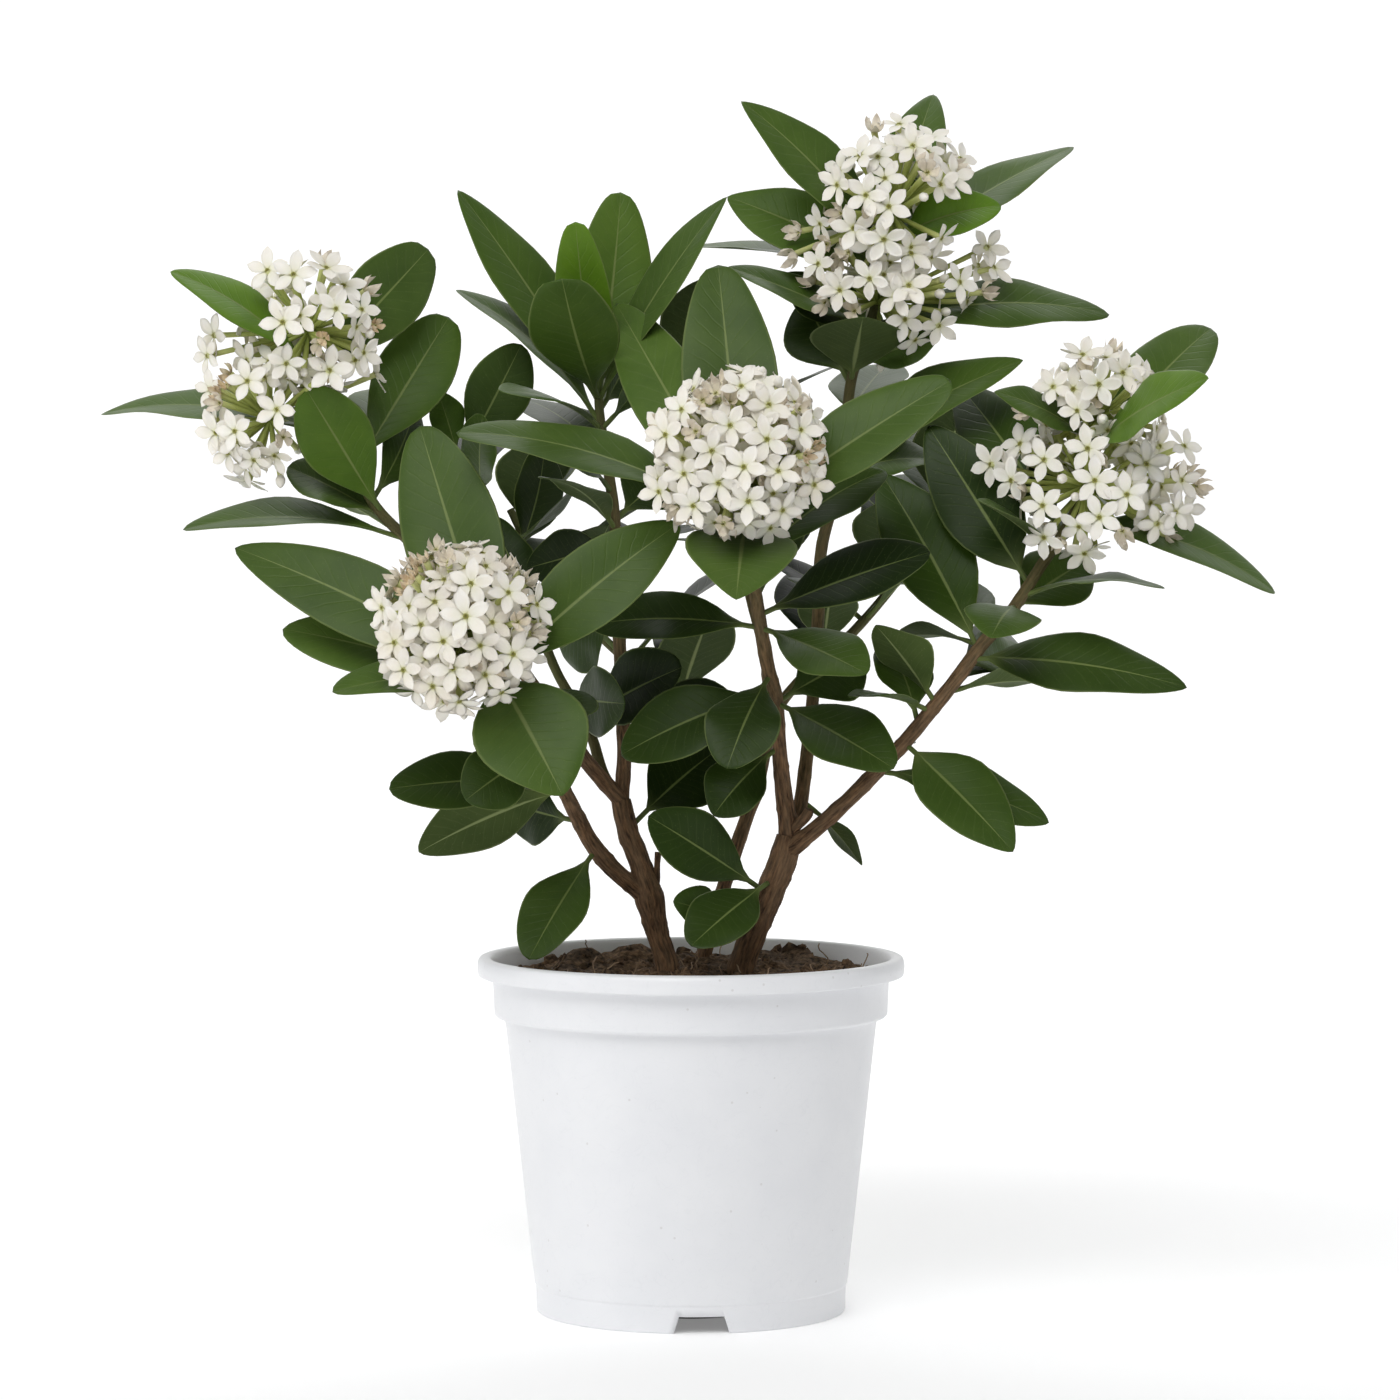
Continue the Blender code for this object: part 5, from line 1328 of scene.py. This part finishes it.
def leaf_finish(name, dark, light, fresh, pale, rib_width, roughness, specular):
    """A leaf side: its greens, its lines and its satin."""
    green = Finish(name, roughness, specular)
    uv = green.put("ShaderNodeUVMap", uv_map="Blade")
    lines = green.put("ShaderNodeGroup", {"UV": uv, "Rib width": rib_width, "Edge width": 0.06, "Pairs": 15.0},
                      node_tree=VEINS)
    cloud = green.mottle(45.0, 2.2, (0.80, 0.84, 0.80), (1.16, 1.12, 1.16))
    # Painted shade and light: the stored tone mixes the dark green, for shaded inner leaves, with the light green
    # of lit outer ones.
    colour = green.blend(green.stored("tone_and_shade"), dark, light)
    colour = green.blend(green.stored("young"), colour, fresh)
    colour = green.blend(1.0, colour, cloud["Color"], "MULTIPLY")
    for share, strength in ((lines["Side veins"], 0.08), (green.specks(900.0, 0.22), 0.16), (lines["Edge"], 0.8),
                            (lines["Rib"], 0.85)):
        colour = green.blend(share * strength, colour, pale)
    green.coloured(green.blend(green.stored("stalk") * 0.8, colour, (0.13, 0.17, 0.05)))
    set_inputs(green.shader, {"Sheen Weight": 0.03, "Sheen Tint": (0.9, 1.0, 0.9, 1)})
    green.raised(lines["Side veins"] * -0.5 + cloud["Mask"], 0.0004, 0.35)
    return green.material


upper_side = leaf_finish("leaf_upper_side", (0.007, 0.017, 0.002), (0.083, 0.145, 0.023), (0.115, 0.232, 0.012),
                         (0.18, 0.23, 0.07), 0.055, 0.40, 0.18)
lower_side = leaf_finish("leaf_lower_side", (0.044, 0.068, 0.018), (0.082, 0.115, 0.034), (0.15, 0.22, 0.06),
                         (0.26, 0.31, 0.13), 0.075, 0.6, 0.05)

# %% Lay the leaves
for node, group in leaves.items():
    if group:
        name = node + "_leaves"
        dress(plain_object(name, blade_mesh(name, group, (upper_side, lower_side))), "leaf", node)

# %% [markdown]
# ## Flower heads
#
# Each head is a whorl of florets: a thin yellow-green tube that ends in five white, pointed petals, with an
# olive throat. Buds stand among them, and old florets wilt to beige and brown. Hundreds of alike pieces are
# copied, so Geometry Nodes carry them: a cloud of points stores how each floret stands, how long its tube is
# and what kind it is, and one tree copies the star, the wilted star, the bud and the tube to those points.

# %% Flower drawing
# Each whorl: its middle (across, height, depth), reach, core radius,
# the florets seen in front (across, height), and the number that stand round the back
WHORLS = {
    "flowers_a_upper": ((-169, 437, -29), 31, 9, [
        (-174, 459), (-186, 461), (-191, 450), (-155, 444), (-178, 438), (-173, 425), (-160, 431),
        (-139, 437), (-144, 425), (-160, 462)], 7),
    "flowers_a_lower": ((-164, 401, -24.5), 30, 8, [
        (-187, 414), (-181, 400), (-203, 391), (-196, 375), (-189, 382), (-203, 412), (-158, 417)], 3),
    "flowers_b": ((-102, 304, -93), 37, 22, [
        (-112, 316), (-118, 306), (-98, 310), (-108, 299), (-92, 297), (-130, 298), (-126, 286),
        (-104, 287), (-113, 279), (-136, 313), (-96, 324), (-106, 333), (-76, 307), (-122, 325),
        (-80, 320), (-78, 293), (-90, 284)], 9),
    "flowers_c": ((20.5, 380, -87), 39, 25, [
        (17, 393), (9, 382), (33, 387), (-3, 372), (12, 368), (23, 375), (38, 373), (1, 358), (25, 360),
        (-11, 389), (22, 410), (34, 402), (54, 367), (5, 404), (-4, 400), (48, 391), (14, 350),
        (40, 356), (-14, 364), (50, 380)], 9),
    "flowers_d_upper": ((88.5, 489, 0), 34, 9, [
        (76, 493), (86, 488), (101, 490), (103, 503), (115, 502), (97, 515), (74, 511), (64, 498),
        (71, 479), (84, 474)], 7),
    "flowers_d_lower": ((82.5, 450, 7), 33, 8, [
        (96, 468), (78, 457), (95, 454), (65, 452), (56, 464), (118, 456), (109, 437)], 4),
    "flowers_e_upper": ((180.5, 399, -30), 29, 8, [
        (164, 397), (159, 410), (178, 411), (189, 416), (199, 412), (172, 424)], 6),
    "flowers_e_lower": ((175, 368.5, -31), 36, 8, [
        (145, 385), (141, 369), (154, 358), (173, 383), (176, 369), (199, 376), (178, 353), (190, 363),
        (189, 347), (173, 337), (155, 344), (217, 384), (216, 369), (213, 355), (205, 350)], 5),
}
# Places (across, height) of buds, of wilted beige florets and of dry brown ones
BUDS = [(-151, 429), (-145, 429), (-195, 400), (-175, 419), (163, 370), (163, 356), (98, 505), (90, 498),
        (112, 440), (104, 446)]
WILTED = [(12, 409), (17, 405), (7, 402), (1, 396), (-1, 390), (16, 353), (-76, 307), (-118, 331), (-110, 335),
          (60, 492), (66, 486), (60, 470), (70, 468), (101, 503), (-139, 437), (178, 334), (190, 345)]
DRY = [(53, 382), (16, 354), (8, 412), (-124, 323), (-119, 331), (-139, 437), (-203, 413), (-158, 433), (62, 478),
       (190, 337), (208, 345)]
FILL = {"flowers_b": 190, "flowers_c": 210, "flowers_a_upper": 36, "flowers_a_lower": 32, "flowers_d_upper": 54,
        "flowers_d_lower": 46, "flowers_e_upper": 42, "flowers_e_lower": 60}
# Leaves that hang in front of the florets
BEFORE_FLOWERS = {("stem_a", 0), ("stem_a", 4), ("stem_d", 6), ("stem_d", 7), ("stem_e", 0), ("stem_e", 6)}
INNER_SHELL = {"flowers_b": 70, "flowers_c": 75}
# Where the tubes of a head spring from, if not from the middle of its core: across, height, depth
HUBS = {"flowers_a_lower": (-186, 398, -26)}
# Florets seen from the side or half hidden: across, height and kind, 0 open, 1 wilted, 2 dry, 3 bud
EXTRA = {
    "flowers_a_upper": [(-196, 422, 0), (-148, 422, 0), (-142, 433, 3), (-170, 417, 3), (-160, 421, 1),
                        (-158, 415, 2), (-142, 427, 2), (-211, 433, 0), (-214, 424, 0)],
    "flowers_a_lower": [(-212, 409, 0), (-207, 403, 1), (-208, 407, 2), (-204, 411, 2), (-200, 386, 0),
                        (-209, 390, 0), (-204, 381, 0), (-196, 369, 0), (-183, 380, 0), (-179, 388, 1)],
    "flowers_d_upper": [(57, 482, 0), (48, 479, 1), (46, 469, 1), (60, 473, 1), (66, 467, 1), (81, 523, 1),
                        (92, 526, 0), (106, 520, 0), (119, 511, 0), (66, 486, 0)],
    "flowers_d_lower": [(127, 464, 0), (134, 463, 0), (129, 452, 1), (131, 472, 0), (110, 457, 3),
                        (108, 451, 3), (111, 443, 1), (122, 448, 0)],
    "flowers_e_upper": [(168, 409, 0), (150, 399, 1), (183, 391, 0)],
    "flowers_e_lower": [(155, 378, 0), (133, 376, 0), (214, 373, 1), (221, 371, 1), (224, 366, 1),
                        (207, 351, 0), (211, 343, 1), (207, 366, 0), (202, 359, 0), (219, 356, 0),
                        (207, 384, 0)],
}

# %% [markdown]
# ### Where the florets stand
#
# A head is filled in four turns: the florets of its solid, then those that the picture shows from the side,
# then as many as find room, spread evenly by the golden angle, and in the two full heads a hidden shell under
# them. Rays are sent out to the leaves, so that no floret grows through a blade or hides one that hangs in
# front. At the end, a floret that is drawn near a marked place becomes a bud, or a wilted or dry one.

# %% Kinds of florets
STAR_RADIUS = 10.5
PETALS = 5
PETAL_CUP = 0.6
KINDS = ("Open star", "Wilted star", "Dry star", "Bud", "Cupped star")
OPEN, WILTING, DRIED, CLOSED, CUPPED = range(len(KINDS))
# Marked places, how near a floret has to be drawn, and the kind it becomes
MARKS = ((BUDS, 3.5, CLOSED), (DRY, 4.5, DRIED), (WILTED, 4.5, WILTING))


def on_sphere(lift, turn):
    """A direction, from its height and its turn about the upright axis."""
    return Vector(circled(turn, math.sqrt(1 - lift * lift), lift))


def floret_stance(normal, turn):
    """How a floret is turned: its face along the normal, then spun about it."""
    return normal.to_track_quat("Z", "Y") @ Quaternion((0, 0, 1), turn)


def near_any(point, places, reach):
    """Whether a point is drawn within reach of one of the places on the front elevation."""
    return any(math.dist(drawn(point), place) < reach for place in places)


def blade_search(group):
    """Some leaves as one surface, to find out what stands in a floret's way."""
    return BVHTree.FromPolygons(*blade_tubes(group)[:2])


# %% Heads
PULLS = (1, 0.93, 0.86, 0.78)
GOLDEN_ANGLE = math.pi * (3 - math.sqrt(5))
TO_THE_EYE = Vector((0, -1, 0.02))
LEAST_FORWARD = 0.35
BACK_REACH = 0.95
HANGING_REACH = 0.08
SET_BACK = 6
FLORET_TILT = 0.3
FLORET_GAP = 7.4
SIDE_DEPTH = 0.8
INNER_SIZE = 0.85
everywhere = [leaf for group in leaves.values() for leaf in group]
blades = blade_search(everywhere)
front_blades = blade_search([leaf for leaf in everywhere if leaf["label"] in BEFORE_FLOWERS])


class Head:
    """A flower head and its florets, each with its place, stance, kind and size."""

    def __init__(self, name):
        self.name, self.florets, self.draw = name, [], random.Random(name + "fill")
        middle, reach, core, self.front, self.back_count = WHORLS[name]
        self.depth, self.reach, self.core, self.centre = middle[2], reach * MM, core * MM, seen(*middle)
        self.hub = seen(*HUBS[name]) if name in HUBS else self.centre
        self.lay_drawn()
        self.lay_side()
        self.lay_filling()
        self.lay_inner()
        for floret in self.florets:
            if floret[0].y < self.centre.y:
                floret[2] = next((kind for places, reach, kind in MARKS if near_any(floret[0], places, reach)),
                                 floret[2])

    def lean(self, amount):
        """A small random lean."""
        return Vector([self.draw.uniform(-amount, amount) for _axis in range(3)])

    def lay(self, spot, facing, turn, kind, size):
        """Adds a floret."""
        self.florets.append([spot, floret_stance(facing.normalized(), turn), kind, size])

    def drawn_places(self):
        """Where the florets of the solid head stand, as (place, the way each faces)."""
        draw = random.Random(self.name)
        for across, height in self.front:
            flat = seen(across, height, self.depth) - self.centre
            inside = max(self.reach ** 2 - flat.length_squared, (self.reach * LEAST_FORWARD) ** 2) ** 0.5
            out = flat + Vector((0, -inside - draw.uniform(-3, 3) * MM, 0))
            yield self.centre + out, (out.normalized() + TO_THE_EYE * 0.9).normalized()
        for k in range(self.back_count):
            out = on_sphere(0.75 - 1.35 * (k + 0.5) / self.back_count, (k * GOLDEN_ANGLE) % math.pi)
            out = Vector((out.x, out.y * 0.9 + 0.25, out.z)).normalized()
            yield self.centre + out * (self.reach * BACK_REACH), out

    def solid_pull(self, corners, place, facing, turn):
        """How far the solid floret was drawn in towards the middle, or nothing if it was left out."""
        stance, found = floret_stance(facing, turn), []
        for pull in PULLS:
            spot = self.centre + (place - self.centre) * pull
            tips = (spot + stance @ (Vector(circled(k * math.tau / PETALS, STAR_RADIUS, PETAL_CUP)) * MM)
                    for k in range(PETALS))
            found.append((sum(near_corner(corners, tip) for tip in tips), pull))
        count, pull = max(found)
        return pull if count else None

    def lay_drawn(self):
        """The florets of the solid head, set back where a leaf hangs in front."""
        corners, draw = corners_of(self.name), random.Random(self.name + "turns")
        for k, (place, facing) in enumerate(self.drawn_places()):
            turn = draw.uniform(0, 1.25)
            pull = self.solid_pull(corners, place, facing, turn)
            if pull is None and k >= len(self.front):
                continue
            spot = self.centre + (place - self.centre) * (pull or 1)
            away = (spot - eye.location).normalized()
            leaf = front_blades.ray_cast(spot - away * (2 * MM), away, HANGING_REACH)[0]
            self.lay(leaf + away * (SET_BACK * MM) if leaf else spot, facing + self.lean(FLORET_TILT), turn, OPEN,
                     self.draw.uniform(0.94, 1.05))

    def lay_side(self):
        """The florets that are seen from the side or half hidden."""
        for across, height, kind in EXTRA.get(self.name, []):
            flat = seen(across, height, self.depth) - self.hub
            out = flat - Vector((0, max(self.reach ** 2 - flat.length_squared, 0) ** 0.5 * SIDE_DEPTH - 4 * MM, 0))
            self.lay(self.hub + out, out.normalized() + Vector((0, -0.95, 0)) + self.lean(0.45),
                     self.draw.uniform(0, 1.25), kind, self.draw.uniform(0.9, 1.0))

    def lay_filling(self):
        """Florets spread evenly over the whole head, wherever there is room."""
        for k in range(FILL[self.name]):
            turn = k * GOLDEN_ANGLE + self.draw.uniform(-0.25, 0.25)
            out = on_sphere(1 - 2 * (k + 0.5) / FILL[self.name], turn)
            spot = self.hub + out * (self.reach * self.draw.uniform(0.80, 0.93))
            away = (spot - eye.location).normalized()
            in_the_way = (blades.ray_cast(self.hub + out * self.core, out, self.reach + 4 * MM - self.core)[0]
                          or front_blades.ray_cast(spot + away * MM, away, HANGING_REACH)[0]
                          or any((spot - other[0]).length <= FLORET_GAP * MM for other in self.florets))
            if not in_the_way:
                facing = out + Vector((0, -0.35, 0)) + self.lean(0.35)
                kind = self.draw.choices((OPEN, WILTING, CLOSED), (0.72, 0.16, 0.12))[0]
                self.lay(spot, facing, self.draw.uniform(0, 1.25), kind, self.draw.uniform(0.86, 1.0))

    def lay_inner(self):
        """A shell of florets under the outer ones of the full heads."""
        count = INNER_SHELL.get(self.name, 0)
        for k in range(count):
            out = on_sphere(1 - 2 * (k + 0.5) / count, k * GOLDEN_ANGLE)
            facing = out + self.lean(0.5)
            spot = self.hub + out * (self.reach * self.draw.uniform(0.66, 0.74))
            self.lay(spot, facing, k, self.draw.choice((OPEN, OPEN, WILTING)), INNER_SIZE)


# %% [markdown]
# ### One star, one bud, one tube
#
# The patterns are small, because each is copied hundreds of times. A petal is a thin closed blade, narrow at
# the throat, widest past its middle and pointed, a little arched and tilted, so that the five overlap like a
# pinwheel. A stored value called bloom runs from 0 at the tube's root, over 0.5 at the throat, to 1 at the
# petal's tip, and the finish reads its colours from it.

# %% Floret patterns
PETAL_LENGTH = 10.7
PETAL_HALF_WIDTH = 2.75
PETAL_TIP_HALF = 0.12
PETAL_FOOT = 0.5
PETAL_ROWS = 5
PETAL_COLUMNS = (-1, -0.45, 0, 0.45, 1)
THROAT_SIDES = 8
# Height and radius in millimetres, and bloom, of the rings of the throat and of a bud
THROAT = ((0.15, 0.05, 0.44), (0.40, 0.65, 0.455), (0.5, 1.2, 0.5), (-0.9, 1.1, 0.42))
BUD = ((-1.0, 0.9, 0.5), (0.0, 1.5, 0.62), (1.6, 2.3, 0.75), (3.4, 2.2, 0.8), (5.0, 1.3, 0.85), (5.8, 0.2, 0.9))
# The same for the tube, in metres; its heights are shares of the length that each floret stores
TUBE = ((0, 0.00150, 0.42), (-0.08, 0.00142, 0.36), (-0.6, 0.00115, 0.24), (-0.94, 0.0009, 0.1),
        (-0.97, 0.0013, 0.02), (-1.0, 0.0014, 0.0))


def pattern_object(name, verts, faces, bloom):
    """A pattern to be copied, kept off the render."""
    mesh = mesh_of(name, verts, faces)
    work = bmesh.new()
    work.from_mesh(mesh)
    bmesh.ops.recalc_face_normals(work, faces=work.faces)
    work.to_mesh(mesh)
    work.free()
    mesh.attributes.new("bloom", "FLOAT", "POINT").data.foreach_set("value", bloom)
    mesh.polygons.foreach_set("use_smooth", [True] * len(mesh.polygons))
    return bpy.data.objects.new(name, mesh)


def petal_faces(first):
    """A petal's faces: its two skins, then its rim."""
    wide = len(PETAL_COLUMNS)
    size = wide * (PETAL_ROWS + 1)
    for skin in (first, first + size):
        for row in range(PETAL_ROWS):
            for a in range(skin + row * wide, skin + row * wide + wide - 1):
                yield a, a + 1, a + wide + 1, a + wide
    for row in range(PETAL_ROWS):
        for a in (first + row * wide, first + row * wide + wide - 1):
            yield a, a + wide, a + wide + size, a + size
    for column in range(wide - 1):
        for a in (first + column, first + PETAL_ROWS * wide + column):
            yield a, a + 1, a + 1 + size, a + size


def petal_points(draw, petal, curl, crumple):
    """A petal's points with the bloom of each, the upper skin first."""
    spin = petal * math.tau / PETALS + draw.uniform(-0.5, 0.5) * (0.12 + crumple)
    bend = curl + draw.uniform(-0.4, 0.4) * crumple + draw.uniform(-0.10, 0.10)
    long = PETAL_LENGTH * (1 + draw.uniform(-0.05, 0.05)) * (1 - 0.35 * crumple)
    for skin in (1, -1):
        for row in range(PETAL_ROWS + 1):
            t = row / PETAL_ROWS
            width = 0.24 * (1 - t) + 0.93 * math.sin(math.pi * t ** 1.2) ** 0.8 if row < PETAL_ROWS else 0
            half = PETAL_HALF_WIDTH * (1 - 0.4 * crumple) * width or PETAL_TIP_HALF
            out = PETAL_FOOT + (long - PETAL_FOOT) * t
            rise = 0.25 + 0.9 * math.sin(math.pi * t * 0.8) + bend * out * t
            reach = out * math.cos(min(1.2, bend * t * 1.2))
            for across in PETAL_COLUMNS:
                dip = -0.55 * half / PETAL_HALF_WIDTH * (1 - across * across) + 0.32 * across
                dip += draw.uniform(-1, 1) * 0.8 * crumple
                flat = 0.16 * (1 - across ** 4) if 0 < row < PETAL_ROWS else 0.0
                point = Vector((reach, across * half, rise + dip + skin * flat))
                yield Matrix.Rotation(spin, 3, "Z") @ point * MM, 0.52 + 0.48 * t


def add_rings(rings, sides, verts, faces, bloom):
    """Adds rings about the upright axis, each with its height, radius and bloom, and joins them."""
    start = len(verts)
    for height, radius, value in rings:
        verts += [circled(math.tau * k / sides, radius, height) for k in range(sides)]
        bloom += [value] * sides
    for low in range(start, len(verts) - sides, sides):
        for k in range(sides):
            a, b = low + k, low + (k + 1) % sides
            faces.append((a, b, b + sides, a + sides))
    return start


def in_metres(rings):
    """Rings in metres, from rings in millimetres."""
    return [(height * MM, radius * MM, value) for height, radius, value in rings]


def star_pattern(name, curl, crumple, seed):
    """Five petals round a throat; curl folds them up and in, crumple adds disorder."""
    draw, verts, faces, bloom = random.Random(seed), [], [], []
    for petal in range(PETALS):
        faces += petal_faces(len(verts))
        for point, value in petal_points(draw, petal, curl, crumple):
            verts.append(point)
            bloom.append(value)
    start = add_rings(in_metres(THROAT), THROAT_SIDES, verts, faces, bloom)
    faces += [tuple(range(start, start + THROAT_SIDES)), tuple(range(len(verts) - THROAT_SIDES, len(verts)))]
    return pattern_object(name, verts, faces, bloom)


def spun_pattern(name, rings, sides):
    """A closed body turned about its own axis."""
    verts, faces, bloom = [], [], []
    add_rings(rings, sides, verts, faces, bloom)
    faces += [tuple(range(sides)), tuple(len(verts) - 1 - k for k in range(sides))]
    return pattern_object(name, verts, faces, bloom)


star = star_pattern("star", 0.02, 0.0, 1)
star_cupped = star_pattern("star_cupped", 0.26, 0.06, 4)
wilted_star = star_pattern("wilted_star", 0.75, 0.55, 2)
bud = spun_pattern("bud", in_metres(BUD), 8)
tube = spun_pattern("tube", TUBE, 6)
for pattern in (star, star_cupped, wilted_star, bud, tube):
    print(f"{pattern.name}: {len(pattern.data.polygons)} faces")

# %% [markdown]
# ### Whorl
#
# The tree reads what each point stores. For every kind it picks the points of that kind, and copies the
# pattern to them in their stance and size. The tube goes to every point, stretched to the length that is
# stored there, so that all tubes of a head spring from its middle.

# %% Whorl tree
whorl = Growth("Whorl", [(label, "Object") for label in (*KINDS, "Tube")]
               + [("Size spread", "Float", 0.06), ("Seed", "Int", 7)])
given = whorl.given
kind, stance = whorl.read("kind", "INT"), whorl.read("stance", "QUATERNION")
most = given["Size spread"]
full = whorl.read("grown") + whorl.chance(most * -1.0, most, given["Seed"])
copies = []
for number, label in enumerate(KINDS):
    pattern = whorl.put("GeometryNodeObjectInfo", {"Object": given[label]})["Geometry"]
    copies.append(whorl.copies(given["Geometry"], pattern, stance, full,
                               Selection=whorl.compare("EQUAL", kind, number, "INT")))
pattern = whorl.put("GeometryNodeObjectInfo", {"Object": given["Tube"]})["Geometry"]
stretch = whorl.put("ShaderNodeCombineXYZ", {0: 1.0, 1: 1.0, 2: whorl.read("reach")})
copies.append(whorl.copies(given["Geometry"], pattern, whorl.read("root", "QUATERNION"), stretch))
joined = whorl.put("GeometryNodeJoinGeometry")
for copy in copies:
    whorl.join(copy, joined.socket.node.inputs[0])
whorl.finish(whorl.real(joined))

# %% [markdown]
# ### Floret finish
#
# One finish serves the whole floret. The stored bloom picks the colour: yellow-green tube, olive throat, pale
# yellow at the foot of the petal, then white. A second stored value, wilt, blends the petal to beige and
# brown, unevenly, as real ones fade in patches.

# %% Floret finish
# Bloom and the colour there
BLOOM_COLOURS = ((0.0, (0.20, 0.26, 0.045)), (0.3, (0.46, 0.52, 0.15)), (0.41, (0.62, 0.64, 0.30)),
                 (0.445, (0.13, 0.125, 0.02)), (0.48, (0.36, 0.36, 0.08)), (0.53, (0.72, 0.73, 0.40)),
                 (0.61, (0.87, 0.86, 0.74)), (0.8, (0.925, 0.90, 0.83)), (1.0, (0.935, 0.912, 0.85)))
floret = Finish("floret", 0.55, 0.3)
bloom = floret.stored("bloom")
ramp = floret.put("ShaderNodeValToRGB", {"Fac": bloom})
stops = ramp.socket.node.color_ramp.elements
for position, colour in BLOOM_COLOURS:
    stop = {0.0: stops[0], 1.0: stops[-1]}.get(position) or stops.new(position)
    stop.position, stop.color = position, (*colour, 1)
fade = floret.mottle(260.0, 3.0, (0.38, 0.20, 0.05), (0.83, 0.69, 0.44))
soft = floret.mottle(120.0, 2.5, (0.955, 0.93, 0.89), (1.0, 1.0, 1.0))
colour = floret.blend(1.0, ramp, soft["Color"], "MULTIPLY")
wilt = floret.stored("wilt") * floret.remap(bloom, 0.45, 0.6)
floret.coloured(floret.blend(wilt * 0.92, colour, fade["Color"]))
set_inputs(floret.shader, {"Subsurface Weight": 0.12, "Subsurface Radius": (0.8, 0.7, 0.5),
                           "Subsurface Scale": 0.002})

# %% [markdown]
# ### Bloom
#
# Each head becomes a cloud of bare points, one for each floret, and the tree grows the head from it. Some open
# stars are swapped for cupped ones, and the wilt of each is drawn by chance, so that no two look alike.

# %% Bloom
CUPPED_SHARE = 0.3
TUBE_START = 2.0
SHORTEST_TUBE = 4
# Size and wilt of each kind, and how cream the open petals of the full heads are at most
GROWN = (1, 0.9, 0.62, 0.95, 1)
WILT = (0.0, 0.5, 1.0, 0.0, 0.08)
CREAM = {"flowers_b": 0.20, "flowers_c": 0.14}
POINT_VALUES = {"stance": "QUATERNION", "root": "QUATERNION", "kind": "INT", "reach": "FLOAT", "grown": "FLOAT",
                "wilt": "FLOAT"}


def head_points(name):
    """A head as a cloud of points that store their floret's stance, kind, size, wilt and tube."""
    head, draw = Head(name), random.Random(name + "kinds")
    root_place = head.hub - Vector((0, 0, head.core * 0.25))
    values = {label: [] for label in POINT_VALUES}
    for spot, turned_to, kind, size in head.florets:
        out = spot - root_place
        kind = CUPPED if kind == OPEN and draw.random() < CUPPED_SHARE else kind
        wilt = (WILT[kind] * draw.uniform(0.7, 1.0) if kind
                else draw.uniform(0, 0.05) + CREAM.get(name, 0) * draw.random())
        values["stance"] += [*turned_to]
        values["root"] += [*out.to_track_quat("Z", "Y")]
        values["kind"].append(kind)
        values["reach"].append(max(out.length - TUBE_START * MM, SHORTEST_TUBE * MM))
        values["grown"].append(size * GROWN[kind])
        values["wilt"].append(wilt)
    mesh = mesh_of(name + "_points", [spot for spot, *_rest in head.florets], [])
    for label, kind in POINT_VALUES.items():
        mesh.attributes.new(label, kind, "POINT").data.foreach_set("value", values[label])
    return mesh


patterns = {"Open star": star, "Wilted star": wilted_star, "Dry star": wilted_star, "Bud": bud,
            "Cupped star": star_cupped, "Tube": tube, "Finish": floret.material}
for k, name in enumerate(WHORLS):
    dress(grow(name + "_head", head_points(name), whorl, {**patterns, "Seed": 7 + k}), "petal", name)
for pattern in (star, star_cupped, wilted_star, bud, tube):
    bpy.data.objects.remove(pattern)
